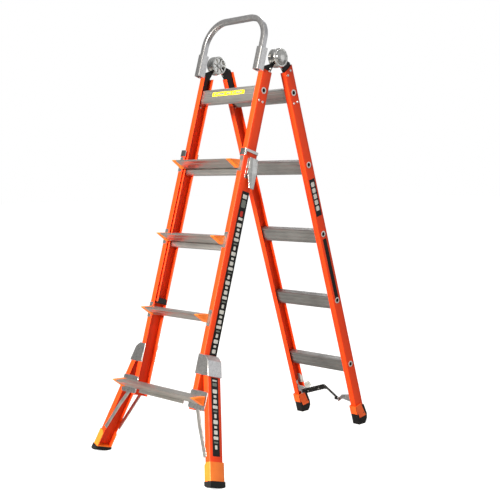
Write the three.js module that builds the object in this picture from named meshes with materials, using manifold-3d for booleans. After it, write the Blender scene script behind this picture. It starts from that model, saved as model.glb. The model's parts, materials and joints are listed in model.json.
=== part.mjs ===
// Multi-position ladder: a telescoping front section with flared legs and treads, a hinged
// rear section with rungs, rocking locks, ratchet hinges, a lift-out grab handle and a V bar.
// Millimetres, +Z up, the climber stands on the -Y side. Each section is drawn in its own frame:
// x across, y toward the back, z up along its rails, with the origin on the hinge axis.
import * as THREE from 'three';
import { mergeVertices } from 'three/addons/utils/BufferGeometryUtils.js';
import Module from 'manifold-3d';

const wasm = await Module();
wasm.setup();

// ---- driving dimensions ----
const gap = 0.3; // between pieces that touch
const rungPitch = 304.8;
const hingeHeight = 1586; // hinge axis above the floor when the ladder stands open
const hingeSetback = 44; // from the hinge axis to each section's rung line
const frontTilt = THREE.MathUtils.degToRad(17.1);
const rearTilt = THREE.MathUtils.degToRad(16.6);

const inner = { width: 368, depth: 51, flange: 26, wall: 3, rungs: 3, top: 70, tail: 270 };
const outer = { sideGap: 2, frontGap: 7, rearGap: 1, wall: 3, flange: 25, top: 258, tail: 45 };
const rear = { rungs: 5, topFront: 68, topRear: 42, rubberBelow: 30 };
const plug = { lid: 6, depth: 16 };
const rung = { depth: 34, above: 20, below: 38, wall: 2.6 };
const ferrule = { bore: 8, tube: 9.7, rim: 13.5, rimThick: 1.4 };
const tread = { reach: 55, rise: 12.5, rootDown: 20, lowRootDown: 32, noseDown: 5.5, nose: 2.5, noseBack: 4 };
const treadEnd = { usual: -16.5, lowest: 61 }; // past the outer rail's face
const treadWall = 3;
const cap = { length: 22, proud: 2 };
const tab = { thick: 3, width: 18, inset: 3, up: 29, down: 34, root: 12 };
const gusset = { thick: 4, inset: 4, up: 30, down: 40, overhang: 3, corner: 9 };
const leg = { flare: THREE.MathUtils.degToRad(18.4), flange: 25, start: 84, top: 80 };
const shoulder = { top: 140, bottom: 216, wall: 3.5, lap: 28, crown: 18, ease: 8, cap: 3 };
const brace = { width: 17, thick: 3, tuck: 22, hold: 56, reach: 184, headX: 22 };
const braceLean = THREE.MathUtils.degToRad(30.5);
const joggle = { from: 12, to: 58 }; // down the front brace, from its head
const boot = { wall: 3.5, floor: 4, height: 68, innerLap: 2, above: 34 };
const sole = { radius: 36, inset: 9, patch: 12, lap: 1.5, steps: 10 };
const band = { height: 28, wall: 3.2, above: 12, lap: 2, plateBelow: 26 };
const ear = { thick: 4, proud: 12, reach: 16 }; // the lock's cheeks, either side of its lever
const lever = { width: 42, back: 8, top: 30, pivot: 88, bottom: 150, standoff: 4.4, thick: 14, belly: 5 };
const leverSwing = THREE.MathUtils.degToRad(10);
const handle = { size: 22, bend: 100, rise: 147.6, inset: 12, forward: 44.3, tuck: 85, corner: 5, steps: 10 };
const socket = { bottom: -82, top: 12, wall: 3.6, fit: 0.3, cheek: 3, clear: 2.5, ease: 4 };
const drum = { radius: 39, inward: 23, proud: 16, boreDepth: 12, armGap: 2 };
const knob = { radius: 29, proud: 9, stem: 3, shoulder: 6, dome: 17 };
const arm = { thick: 4.5, reach: 58, width: 42, stepIn: 6, brow: 32 };
const shoe = { wall: 4.2, height: 84, sideWall: 4.6, heelWall: 4, toe: 26 };
const vBar = { height: 27, thick: 6, drop: 1384, inset: 80, flat: 6 };
const vShape = { endForward: 43, apexBack: 8, apexRise: 30 };
const vBracket = { height: 46, thick: 4, back: 8, pinRadius: 4, ear: 9, lug: 3 };

// ---- worked out from them ----
const innerHalf = inner.width / 2;
const outerHalf = innerHalf + outer.sideGap + outer.wall;
const innerFace = inner.depth / 2; // rail face, either way from the rung line
const outerFront = innerFace + outer.frontGap + outer.wall;
const outerRear = innerFace + outer.rearGap + outer.wall;
const rungLine = (level) => -rungPitch / 2 - level * rungPitch; // z of a rung centre, 0 is the top one
const forward = (n) => -hingeSetback - n; // y of a point n in front of the front section's rung line
const backward = (n) => hingeSetback + n; // y of a point n behind the rear section's rung line

const handleHalf = innerHalf - handle.inset;
const drumInside = innerHalf - drum.inward;
const drumOutside = innerHalf + drum.proud;
const vEnd = innerHalf - vBar.inset;

// ---- shapes ----
function toSolid(geometry) {
  const bare = geometry.clone();
  bare.deleteAttribute('normal');
  bare.deleteAttribute('uv');
  const merged = mergeVertices(bare, 1e-4);
  const vertProperties = new Float32Array(merged.attributes.position.array);
  const triVerts = new Uint32Array(merged.index.array);
  return new wasm.Manifold(new wasm.Mesh({ numProp: 3, vertProperties, triVerts }));
}

function toGeometry(solid) {
  const mesh = solid.getMesh();
  const geometry = new THREE.BufferGeometry();
  geometry.setAttribute('position', new THREE.BufferAttribute(mesh.vertProperties, 3));
  geometry.setIndex(new THREE.BufferAttribute(mesh.triVerts, 1));
  geometry.computeVertexNormals();
  return geometry;
}

const axes = {
  x: [new THREE.Vector3(0, 1, 0), new THREE.Vector3(0, 0, 1), new THREE.Vector3(1, 0, 0)],
  y: [new THREE.Vector3(0, 0, 1), new THREE.Vector3(1, 0, 0), new THREE.Vector3(0, 1, 0)],
  z: [new THREE.Vector3(1, 0, 0), new THREE.Vector3(0, 1, 0), new THREE.Vector3(0, 0, 1)],
};

// A shape swept along an axis: its two coordinates are (y,z) along x, (z,x) along y, (x,y) along z.
function sweep(axis, shape, from, to, segments = 6) {
  const low = Math.min(from, to);
  const options = { depth: Math.abs(to - from), bevelEnabled: false, curveSegments: segments };
  const geometry = new THREE.ExtrudeGeometry(shape, options);
  geometry.translate(0, 0, low);
  geometry.applyMatrix4(new THREE.Matrix4().makeBasis(...axes[axis]));
  return toSolid(geometry);
}

const outline = (points) => new THREE.Shape(points.map(([u, v]) => new THREE.Vector2(u, v)));

function boxSolid(x0, x1, y0, y1, z0, z1) {
  const geometry = new THREE.BoxGeometry(Math.abs(x1 - x0), Math.abs(y1 - y0), Math.abs(z1 - z0));
  geometry.translate((x0 + x1) / 2, (y0 + y1) / 2, (z0 + z1) / 2);
  return toSolid(geometry);
}

// A round bar along x.
function roundBar(radius, x0, x1, y, z, segments = 24) {
  const geometry = new THREE.CylinderGeometry(radius, radius, Math.abs(x1 - x0), segments);
  geometry.rotateZ(Math.PI / 2);
  geometry.translate((x0 + x1) / 2, y, z);
  return toSolid(geometry);
}

// A rectangle with rounded corners, as a shape.
function roundedRect(u0, u1, v0, v1, radius) {
  const shape = new THREE.Shape();
  shape.moveTo(u0 + radius, v0);
  shape.absarc(u1 - radius, v0 + radius, radius, -Math.PI / 2, 0);
  shape.absarc(u1 - radius, v1 - radius, radius, 0, Math.PI / 2);
  shape.absarc(u0 + radius, v1 - radius, radius, Math.PI / 2, Math.PI);
  shape.absarc(u0 + radius, v0 + radius, radius, Math.PI, Math.PI * 1.5);
  return shape;
}

// An open channel, web at the outside, flanges turned inward.
function channel(side, web, flange, y0, y1, wall) {
  const tip = web - flange;
  const soft = wall * 0.8; // outer corner, eased
  return outline([
    [tip, y0], [web - soft, y0], [web, y0 + soft], [web, y1 - soft], [web - soft, y1], [tip, y1],
    [tip, y1 - wall], [web - wall, y1 - wall], [web - wall, y0 + wall], [tip, y0 + wall],
  ].map(([x, y]) => [side * x, y]));
}

// A box between two x, two y and two z, with x counted outward on the given side.
function sideBox(side, x, y, z) {
  return boxSolid(side * x[0], side * x[1], y[0], y[1], z[0], z[1]);
}

// An outline whose second number is an x counted outward on the given side.
const sideOutline = (side, points) => outline(points.map(([u, x]) => [u, side * x]));

// ---- materials ----
function finish(color, roughness, metalness) {
  return new THREE.MeshStandardMaterial({ color, roughness, metalness });
}
const glassFibre = finish(0xf0501e, 0.45, 0);
const orangeCap = finish(0xf47a22, 0.5, 0);
const aluminium = finish(0xa7a29b, 0.4, 0.9);
const castAluminium = finish(0x9a9a9a, 0.5, 0.9);
const steel = finish(0xb5b5b2, 0.3, 1);
const blackSteel = finish(0x18181a, 0.5, 0.4);
const rubber = finish(0x16161a, 0.85, 0);
const blackPlastic = finish(0x1c1a1a, 0.6, 0);

const ladder = new THREE.Group();
const front = new THREE.Group(); // base and inner section share the front slope
const back = new THREE.Group();
front.rotation.x = -frontTilt;
back.rotation.x = rearTilt;
front.position.z = hingeHeight;
back.position.z = hingeHeight;
ladder.add(front, back);

function place(group, name, solid, material) {
  const mesh = new THREE.Mesh(toGeometry(solid), material);
  mesh.name = name;
  group.add(mesh);
}

const sides = [['left', -1], ['right', 1]];

// ---- rungs and the rails that carry them ----
function ferruleHoles(rail, side, levels, y) {
  let cut = rail;
  for (const level of levels) {
    const from = innerHalf - inner.wall - 1;
    const hole = roundBar(ferrule.tube + gap, side * from, side * (innerHalf + 1), y, rungLine(level), 16);
    cut = cut.subtract(hole);
  }
  return cut;
}

// A hollow rung whose tube ends pass through the rail webs and are rolled over outside.
function rungSolid(level, y) {
  const z = rungLine(level);
  const half = innerHalf - inner.wall - gap;
  const skin = (inset) => outline([
    [y - rung.depth / 2 + inset, z - rung.below + inset],
    [y + rung.depth / 2 - inset, z - rung.below + inset],
    [y + rung.depth / 2 - inset, z + rung.above - inset],
    [y - rung.depth / 2 + inset, z + rung.above - inset],
  ]);
  let body = sweep('x', skin(0), -half, half);
  body = body.subtract(sweep('x', skin(rung.wall), -half + rung.wall, half - rung.wall));
  const tip = innerHalf + gap + ferrule.rimThick;
  for (const [, side] of sides) {
    const tube = roundBar(ferrule.tube, side * (half - 1), side * tip, y, z, 16);
    const rim = roundBar(ferrule.rim, side * (innerHalf + gap), side * tip, y, z, 16);
    const bore = roundBar(ferrule.bore, side * (half - rung.wall - 1), side * (tip + 1), y, z, 16);
    body = body.add(tube).add(rim).subtract(bore);
  }
  return body;
}

// ---- front section, inner part ----
const innerLevels = [...Array(inner.rungs).keys()];
const innerBottom = rungLine(inner.rungs - 1) - inner.tail;

for (const [name, side] of sides) {
  const profile = channel(side, innerHalf, inner.flange, forward(innerFace), forward(-innerFace), inner.wall);
  const rail = sweep('z', profile, innerBottom, -inner.top);
  place(front, `inner_rail_${name}`, ferruleHoles(rail, side, innerLevels, forward(0)), glassFibre);
}
innerLevels.forEach((level) => {
  place(front, `inner_rung_${inner.rungs - level}`, rungSolid(level, forward(0)), aluminium);
});

// Plastic plugs close the lower ends of the inner rails.
function endPlug(side) {
  const web = innerHalf - inner.wall - gap;
  const reach = innerFace - inner.wall - gap;
  const tip = innerHalf - inner.flange;
  const insert = sideBox(side, [tip, web], [forward(reach), forward(-reach)],
    [innerBottom - gap, innerBottom + plug.depth]);
  const lid = sideBox(side, [tip, innerHalf], [forward(innerFace), forward(-innerFace)],
    [innerBottom - plug.lid, innerBottom - gap]);
  return insert.add(lid);
}
for (const [name, side] of sides) place(front, `rail_end_plug_${name}`, endPlug(side), blackPlastic);

// ---- front section, base ----
const baseLevels = [1, 2, 3, 4];
const lowLevel = baseLevels.at(-1);
const outerBottom = rungLine(lowLevel) - outer.tail;
const outerTop = rungLine(0) - outer.top;

const outerDepth = [forward(outerFront), forward(-outerRear)];

function outerRail(side) {
  const profile = channel(side, outerHalf, outer.flange, ...outerDepth, outer.wall);
  return sweep('z', profile, outerBottom, outerTop);
}

// The outline of a wedge tread seen along x, almost flat on top when the ladder stands.
function treadOutline(root, z, rootDown, grow) {
  const nose = root + tread.reach + grow;
  return [
    [forward(root), z - rootDown],
    [forward(root), z + tread.rise],
    [forward(nose), z],
    [forward(nose), z - tread.nose],
    [forward(nose - tread.noseBack), z - tread.noseDown - grow],
  ];
}

// The hollow inside it, about one wall in from each face and open at the bottom of the nose.
function hollowTread(root, z) {
  const w = treadWall;
  return outline([
    [forward(root + w), z - tread.rootDown + 2 * w],
    [forward(root + w), z + tread.rise - 1.4 * w],
    [forward(root + tread.reach - 3.5 * w), z - 0.6 * w],
    [forward(root + tread.reach - 4.5 * w), z - tread.noseDown],
  ]);
}

function stepSolid(root, span, level) {
  const z = rungLine(level);
  const lowest = level === lowLevel;
  const rootDown = lowest ? tread.lowRootDown : tread.rootDown;
  const half = span / 2 - cap.length - gap;
  const low = half - (lowest ? treadEnd.lowest + outer.flange + gusset.inset : 0);
  let body = sweep('x', outline(treadOutline(root, z, tread.rootDown, 0)), -half, half);
  body = body.add(sweep('x', outline(treadOutline(root, z, rootDown, 0)), -low, low));
  body = body.subtract(sweep('x', hollowTread(root, z), -half - 1, half + 1));
  if (lowest) return body;
  const tabEnd = outerHalf - tab.inset;
  const tabStart = tabEnd - tab.width;
  for (const [, side] of sides) {
    const plate = sideOutline(side, [
      [z - rootDown, half - tab.root], [z - rootDown, tabStart], [z - tab.down, tabStart],
      [z - tab.down, tabEnd], [z + tab.up, tabEnd], [z + tab.up, tabStart],
      [z + tread.rise - 1, tabStart], [z + tread.rise - 1, half - tab.root],
    ]);
    body = body.add(sweep('y', plate, forward(root), forward(root + tab.thick)));
  }
  return body;
}

function capSolid(root, span, level, side) {
  const start = side * (span / 2 - cap.length);
  const end = side * span / 2;
  const base = root + tab.thick + gap;
  const reach = cap.proud - tab.thick - gap;
  const shape = treadOutline(base, rungLine(level), tread.rootDown + cap.proud, reach);
  return sweep('x', outline(shape), start, end);
}

// Rounded plates tie the lowest tread, the rails and the legs together.
function gussetSolid(side) {
  const z = rungLine(lowLevel);
  const from = outerHalf - outer.flange - gusset.inset;
  const to = outerHalf + treadEnd.lowest + gusset.overhang;
  const x0 = Math.min(side * from, side * to);
  const x1 = Math.max(side * from, side * to);
  const shape = roundedRect(z - gusset.down, z + gusset.up, x0, x1, gusset.corner);
  return sweep('y', shape, forward(outerFront + gap), forward(outerFront + gap + gusset.thick), 4);
}

for (const [name, side] of sides) place(front, `outer_rail_${name}`, outerRail(side), glassFibre);
for (const level of baseLevels) {
  const lowest = level === lowLevel;
  const root = outerFront + gap + (lowest ? gusset.thick + gap : 0);
  const span = 2 * (outerHalf + (lowest ? treadEnd.lowest : treadEnd.usual));
  const number = lowLevel + 1 - level;
  place(front, `step_${number}`, stepSolid(root, span, level), aluminium);
  for (const [name, side] of sides) {
    place(front, `step_${number}_cap_${name}`, capSolid(root, span, level, side), orangeCap);
  }
}
for (const [name, side] of sides) place(front, `step_gusset_${name}`, gussetSolid(side), castAluminium);

// ---- flared legs, each in a frame that leans out from its rail ----
// The leg frame's origin is where the leg's outer face, drawn on, would meet the rail's.
const legRoot = rungLine(lowLevel - 1) - leg.start;
function inLegFrame(solid, side) {
  const lean = new THREE.Matrix4().makeRotationY(-side * leg.flare);
  lean.setPosition(side * outerHalf, 0, legRoot);
  return solid.transform([...lean.elements]);
}

// Everything below the floor is cut away from what rests on it.
function aboveFloor(solid) {
  const floor = new THREE.BoxGeometry(2000, 2000, 800);
  floor.translate(0, 0, -400);
  floor.translate(0, 0, -hingeHeight);
  floor.rotateX(frontTilt);
  return solid.subtract(toSolid(floor));
}

// Length along the leg from its frame's origin to the floor, at the middle of its outer face.
const floorDrop = (hingeHeight + hingeSetback * Math.sin(frontTilt)) / Math.cos(frontTilt);
const legLength = (floorDrop + legRoot) / Math.cos(leg.flare);

function legSolid(side) {
  const profile = channel(side, 0, leg.flange, ...outerDepth, outer.wall);
  return inLegFrame(sweep('z', profile, -(legLength - boot.above), -leg.top), side);
}

// An open-sided boot over the leg's foot: front, back and outer walls.
function bootSolid(side) {
  const bottom = -(legLength - boot.above) - gap;
  const w = boot.wall;
  const tip = leg.flange + boot.innerLap;
  const front0 = forward(outerFront);
  const back0 = forward(-outerRear);
  const soft = w * 0.8;
  const wallShape = outline([
    [-tip, front0 - gap - w], [w - soft, front0 - gap - w], [w + gap, front0 - w + soft],
    [w + gap, back0 + w - soft], [w - soft, back0 + gap + w], [-tip, back0 + gap + w],
    [-tip, back0 + gap], [gap, back0 + gap], [gap, front0 - gap], [-tip, front0 - gap],
  ].map(([x, y]) => [side * x, y]));
  const walls = sweep('z', wallShape, bottom - boot.floor, bottom - boot.floor + boot.height);
  const plate = sweep('z', outline([
    [-tip, front0 - gap - w], [w + gap, front0 - gap - w],
    [w + gap, back0 + gap + w], [-tip, back0 + gap + w],
  ].map(([x, y]) => [side * x, y])), bottom - boot.floor, bottom);
  return inLegFrame(walls.add(plate), side);
}

// A rubber sole under the boot. It is rounded across the leg and square to it from front to back,
// so on an open ladder the heel edge carries the load: the floor trims it to a flat patch there.
function soleSolid(side) {
  const top = -(legLength - boot.above) - 2 * gap - boot.floor;
  const left = -leg.flange - boot.innerLap - sole.lap;
  const right = boot.wall + gap + sole.lap;
  const front0 = forward(outerFront + gap + boot.wall + sole.lap);
  const back0 = forward(-outerRear - gap - boot.wall - sole.lap);
  const heel = back0 - sole.patch; // where the floor meets the underside
  const heelDrop = hingeHeight / Math.cos(frontTilt) - heel * Math.tan(frontTilt);
  const low = -(heelDrop + legRoot) / Math.cos(leg.flare) - right * Math.tan(leg.flare);
  const lowest = right - sole.inset;
  const shape = new THREE.Shape();
  shape.moveTo(top, side * left);
  for (let i = 0; i <= sole.steps; i += 1) {
    const x = left + ((right - left) * i) / sole.steps;
    const sag = sole.radius - Math.sqrt(sole.radius ** 2 - (x - lowest) ** 2);
    shape.lineTo(low + sag, side * x);
  }
  shape.lineTo(top, side * right);
  return aboveFloor(inLegFrame(sweep('y', shape, front0, back0), side));
}

// A cast shoulder wraps the rail's outside and the leg's upper end.
function shoulderSolid(side) {
  const z0 = rungLine(lowLevel - 1) - shoulder.bottom;
  const z1 = rungLine(lowLevel - 1) - shoulder.top;
  const inside = outerHalf - shoulder.lap;
  const skin = gap + shoulder.wall;
  const outAt = (z) => outerHalf + (legRoot - z) * Math.tan(leg.flare) + skin / Math.cos(leg.flare);
  const crown = z1 - shoulder.crown;
  const brow = z1 - shoulder.ease;
  const block = (inset, low, from, to) => sweep('y', sideOutline(side, [
    [low, inside], [low, outAt(low) - inset], [crown, outAt(crown) - inset],
    [brow - inset * 0.7, outAt(brow) - shoulder.ease - inset],
    [z1 - inset, outerHalf + skin + shoulder.cap - inset], [z1 - inset, inside],
  ]), from, to);
  const y0 = forward(outerFront + gap);
  const y1 = forward(-outerRear - gap);
  const shell = block(0, z0, y0 - shoulder.wall, y1 + shoulder.wall);
  const cavity = block(shoulder.wall, z0 - 2, y0, y1);
  const rail = sideBox(side, [inside - 1, outerHalf + gap], [y0, y1], [z0 - 3, z1 + 1]);
  return shell.subtract(cavity).subtract(rail);
}

// A flat strap along one face of the section, from under the lowest tread to the leg's inner edge.
// The front one starts behind the gusset and is joggled out over the leg's flange.
function braceSolid(side, face) {
  const t = brace.thick;
  const low = -gap - t;
  const high = gap;
  const joggled = [
    [brace.tuck, low], [brace.tuck, low + t], [-joggle.from, low + t], [-joggle.to, high + t],
    [-brace.reach, high + t], [-brace.reach, high], [-joggle.to, high], [-joggle.from, low],
  ];
  const flat = [
    [brace.hold, high], [brace.hold, high + t], [-brace.reach, high + t], [-brace.reach, high],
  ];
  const strap = (face < 0 ? joggled : flat).map(([a, b]) => [face * b, a]);
  const bar = sweep('x', outline(strap), -brace.width / 2, brace.width / 2);
  const turn = new THREE.Matrix4().makeRotationY(-side * braceLean);
  const faceY = face < 0 ? forward(outerFront) : forward(-outerRear);
  turn.setPosition(side * (outerHalf + brace.headX), faceY, rungLine(lowLevel) - gusset.down);
  return bar.transform([...turn.elements]);
}

for (const [name, side] of sides) {
  place(front, `flared_leg_${name}`, legSolid(side), glassFibre);
  place(front, `leg_shoulder_${name}`, shoulderSolid(side), castAluminium);
  place(front, `leg_brace_front_${name}`, braceSolid(side, -1), aluminium);
  place(front, `leg_brace_rear_${name}`, braceSolid(side, 1), aluminium);
  place(front, `foot_boot_${name}`, bootSolid(side), orangeCap);
  place(front, `foot_sole_${name}`, soleSolid(side), rubber);
}

// ---- telescoping locks ----
const bandTop = outerTop + band.above;
const plateOut = outerHalf + gap + band.wall;
const leverBack = outerHalf + lever.standoff;

function bandSolid(side) {
  const inX = outerHalf - outer.flange - band.lap;
  const y0 = forward(outerFront + gap);
  const y1 = forward(-outerRear - gap);
  const z0 = bandTop - band.height;
  const collar = sideBox(side, [inX, plateOut], [y0 - band.wall, y1 + band.wall], [z0, bandTop]);
  const hole = sideBox(side, [inX - 1, outerHalf + gap], [y0, y1], [z0 - 1, bandTop + 1]);
  const cheek = lever.width / 2 + gap;
  const middle = forward(-lever.back);
  const edge = cheek + ear.thick;
  const pivot = bandTop - lever.pivot;
  const plate = sideBox(side, [outerHalf + gap, plateOut], [middle - edge, middle + edge],
    [pivot - band.plateBelow, bandTop]);
  let body = collar.subtract(hole).add(plate);
  for (const s of [-1, 1]) {
    const wall = [middle + s * cheek, middle + s * edge];
    const span = [pivot - ear.reach, pivot + ear.reach];
    body = body.add(sideBox(side, [outerHalf + gap, plateOut + ear.proud], wall, span));
  }
  return body;
}

// The rocker: its lower end stands off the rail and swings in when the lock is set.
function leverSolid(side) {
  const x0 = leverBack;
  const x1 = x0 + lever.thick;
  const off = (lever.bottom - lever.pivot) * Math.tan(leverSwing);
  const z = (down) => bandTop - down;
  const shape = sideOutline(side, [
    [z(lever.top), x0], [z(lever.pivot), x0], [z(lever.bottom), x0 + off],
    [z(lever.bottom), x1 + lever.belly - 1], [z(lever.pivot), x1 + lever.belly],
    [z(lever.top + lever.thick), x1], [z(lever.top), x1 - lever.belly],
  ]);
  const middle = forward(-lever.back);
  return sweep('y', shape, middle - lever.width / 2, middle + lever.width / 2);
}
for (const [name, side] of sides) {
  place(front, `lock_band_${name}`, bandSolid(side), castAluminium);
  place(front, `lock_lever_${name}`, leverSolid(side), steel);
}

// ---- grab handle and its sockets ----
function socketSolid(side) {
  const y = forward(handle.forward);
  const half = handle.size / 2 + socket.fit;
  const wallOut = half + socket.wall;
  const back0 = forward(innerFace + gap);
  const inX = handleHalf - wallOut;
  const outX = innerHalf + gap + socket.cheek;
  const e = socket.ease;
  const z = [socket.bottom, socket.top];
  const tube = sweep('z', outline([
    [inX, y - wallOut], [outX - e, y - wallOut], [outX, y - wallOut + e], [outX, back0], [inX, back0],
  ].map(([x, v]) => [side * x, v])), ...z);
  const cheek = sideBox(side, [innerHalf + gap, outX], [back0 - 2, -drum.radius - socket.clear], z);
  const bore = sideBox(side, [handleHalf - half, handleHalf + half], [y - half, y + half],
    [socket.bottom - 1, socket.top + 1]);
  return tube.subtract(bore).add(cheek);
}

// Stations along the U of the handle's centre line, in the plane of its legs.
function handleStations() {
  const r = handle.bend;
  const knee = handle.rise - r;
  const at = (x, z) => new THREE.Vector3(x, 0, z);
  const points = [at(-handleHalf, socket.top - handle.tuck)];
  for (let i = 0; i <= handle.steps; i += 1) {
    const a = (Math.PI / 2) * (i / handle.steps);
    points.push(at(-handleHalf + r - r * Math.cos(a), knee + r * Math.sin(a)));
  }
  const mirrored = points.map((p) => at(-p.x, p.z)).reverse();
  return [...points, ...mirrored];
}

// The handle's squarish section, as the points of one ring.
function handleRing() {
  const s = handle.size / 2;
  const c = handle.corner;
  return [[-s, c - s], [c - s, -s], [s - c, -s], [s, c - s], [s, s - c], [s - c, s], [c - s, s], [-s, s - c]];
}

// A tube bent into a U: a ring of section points at each mitred station, with flat ends.
function bentTube() {
  const stations = handleStations();
  const ring = handleRing();
  const y = forward(handle.forward);
  const positions = [];
  stations.forEach((p, i) => {
    const ahead = stations[i + 1] ?? p;
    const behind = stations[i - 1] ?? p;
    const a = p.clone().sub(behind).normalize();
    const b = ahead.clone().sub(p).normalize();
    const along = a.clone().add(b).normalize();
    const inner = i > 0 && i < stations.length - 1;
    const stretch = inner ? 1 / Math.sqrt((1 + a.dot(b)) / 2) : 1;
    for (const [u, v] of ring) {
      positions.push(p.x - along.z * u * stretch, y + v, p.z + along.x * u * stretch);
    }
  });
  const n = ring.length;
  const last = (stations.length - 1) * n;
  const index = [];
  for (let start = 0; start < last; start += n) {
    for (let k = 0; k < n; k += 1) {
      const a = start + k;
      const b = start + ((k + 1) % n);
      index.push(a, a + n, b, b, a + n, b + n);
    }
  }
  for (let k = 1; k < n - 1; k += 1) {
    index.push(0, k, k + 1);
    index.push(last, last + k + 1, last + k);
  }
  const geometry = new THREE.BufferGeometry();
  geometry.setAttribute('position', new THREE.Float32BufferAttribute(positions, 3));
  geometry.setIndex(index);
  return geometry;
}
for (const [name, side] of sides) place(front, `handle_socket_${name}`, socketSolid(side), castAluminium);

// ---- hinges ----
const armX = innerHalf - inner.wall - gap;
const split = armX - arm.thick - gap; // the two halves of a drum meet here
function armOutline(sign) {
  const y = sign * hingeSetback;
  const w = arm.width / 2;
  return outline([
    [0, 0], [sign * 8, -drum.radius * 0.6], [y - sign * w, -inner.top + 4],
    [y - sign * w, -inner.top - arm.reach], [y + sign * (w - 6), -inner.top - arm.reach],
    [y + sign * w, -inner.top + 24], [y + sign * (w - 2), -arm.brow], [sign * (drum.radius - 6), -12],
  ]);
}

// The front half of the ratchet: a drum outside the split, bored for its button.
function frontHinge(side) {
  const disc = roundBar(drum.radius, side * (split + gap), side * drumOutside, 0, 0, 32);
  const plate = sweep('x', armOutline(-1), side * (armX - arm.thick), side * armX);
  const floor = drumOutside - drum.boreDepth;
  const bore = roundBar(knob.radius + gap, side * floor, side * (drumOutside + 1), 0, 0, 28);
  return disc.add(plate).subtract(bore);
}

// The rear half: a drum inside the split, with a thick arm that steps out to the rail's web.
function rearHinge(side) {
  const disc = roundBar(drum.radius, side * drumInside, side * split, 0, 0, 32);
  const from = drumInside + arm.stepIn;
  const thin = sweep('x', armOutline(1), side * from, side * split);
  const thick = sweep('x', armOutline(1), side * from, side * armX);
  const swept = roundBar(drum.radius + drum.armGap, side * split, side * (armX + 1), 0, 0, 32);
  return disc.add(thin).add(thick.subtract(swept));
}

// The unlocking button, rounded at its face.
function knobSolid(side) {
  const from = drumOutside - knob.stem;
  const to = drumOutside + knob.proud;
  const r = knob.radius;
  const points = [
    [0, from], [r, from], [r, to - knob.shoulder], [r - 3, to - knob.shoulder / 2],
    [r - 9, to - 1], [r - knob.dome, to], [0, to],
  ];
  const geometry = new THREE.LatheGeometry(points.map(([u, h]) => new THREE.Vector2(u, h)), 28);
  geometry.rotateZ(-side * Math.PI / 2);
  return toSolid(geometry);
}
for (const [name, side] of sides) {
  place(front, `hinge_front_${name}`, frontHinge(side), steel);
  place(back, `hinge_rear_${name}`, rearHinge(side), blackSteel);
  place(front, `hinge_button_${name}`, knobSolid(side), steel);
}
const handleMesh = new THREE.Mesh(bentTube(), aluminium);
handleMesh.name = 'grab_handle';
front.add(handleMesh);

// ---- rear section ----
const rearLevels = [...Array(rear.rungs).keys()];
// Rail length that stands the rear rubber feet on the floor.
const rearDrop = (hingeHeight + hingeSetback * Math.sin(rearTilt)) / Math.cos(rearTilt);
const rearBottom = -(rearDrop - rear.rubberBelow);

function rearRail(side) {
  const depth = [backward(-innerFace), backward(innerFace)];
  const profile = channel(side, innerHalf, inner.flange, ...depth, inner.wall);
  const rail = sweep('z', profile, rearBottom, -rear.topRear);
  const slant = sweep('x', outline([
    [backward(-innerFace - 5), -rear.topFront], [backward(innerFace), -rear.topRear],
    [backward(innerFace), 0], [backward(-innerFace - 5), 0],
  ]), side * (innerHalf - inner.flange - 1), side * (innerHalf + 1));
  return ferruleHoles(rail.subtract(slant), side, rearLevels, backward(0));
}

// A rubber shoe with a pocket for the rail's end, rounded at toe and heel.
function rearShoe(side) {
  const x0 = innerHalf - inner.flange - shoe.sideWall;
  const x1 = innerHalf + gap + shoe.sideWall;
  const toe = backward(-innerFace - gap - shoe.wall);
  const heel = backward(innerFace + gap + shoe.wall + shoe.heelWall);
  const base = rearBottom - rear.rubberBelow;
  const top = base + shoe.height;
  const shape = outline([
    [toe, top], [toe, base - 12], [toe + shoe.toe, base - 12], [heel - 14, base + 4],
    [heel - 4, base + 16], [heel, base + 36], [heel - 8, top],
  ]);
  const floor = new THREE.BoxGeometry(2000, 2000, 800);
  floor.translate(0, 0, -400 - hingeHeight);
  floor.rotateX(-rearTilt);
  const body = sweep('x', shape, side * x0, side * x1).subtract(toSolid(floor));
  const pocket = sideBox(side, [innerHalf - inner.flange - gap, innerHalf + gap],
    [backward(-innerFace - gap), backward(innerFace + gap)], [rearBottom - gap, top + 1]);
  return body.subtract(pocket);
}

// A flat bar bent to a V that sits against a pole.
const vBarZ = rungLine(0) - vBar.drop;
const pinY = backward(-vShape.endForward) + vBar.thick / 2;
const lugEnd = vEnd + 4;
function vBarSolid() {
  const t = vBar.thick;
  const y0 = backward(-vShape.endForward);
  const y1 = backward(vShape.apexBack);
  const shape = outline([
    [-vEnd, y0], [0, y1 - t], [vEnd, y0], [vEnd, y0 + t],
    [vBar.flat, y1], [-vBar.flat, y1], [-vEnd, y0 + t],
  ]);
  const bar = sweep('z', shape, -vBar.height / 2, vBar.height / 2);
  const rise = Math.atan2(vShape.apexRise, vShape.endForward + vShape.apexBack);
  const toEnds = new THREE.Matrix4().makeTranslation(0, -y0, 0);
  const turn = new THREE.Matrix4().makeRotationX(rise);
  const home = new THREE.Matrix4().makeTranslation(0, y0, vBarZ);
  const whole = home.multiply(turn).multiply(toEnds);
  let body = bar.transform([...whole.elements]);
  const tip = lugEnd + gap + vBracket.thick + 2;
  for (const [, side] of sides) {
    const boss = vBracket.pinRadius + vBracket.lug;
    const lug = roundBar(boss, side * (vEnd - 12), side * lugEnd, pinY, vBarZ, 16);
    const pin = roundBar(vBracket.pinRadius, side * vEnd, side * tip, pinY, vBarZ, 16);
    body = body.add(lug).add(pin);
  }
  return body;
}

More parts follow.
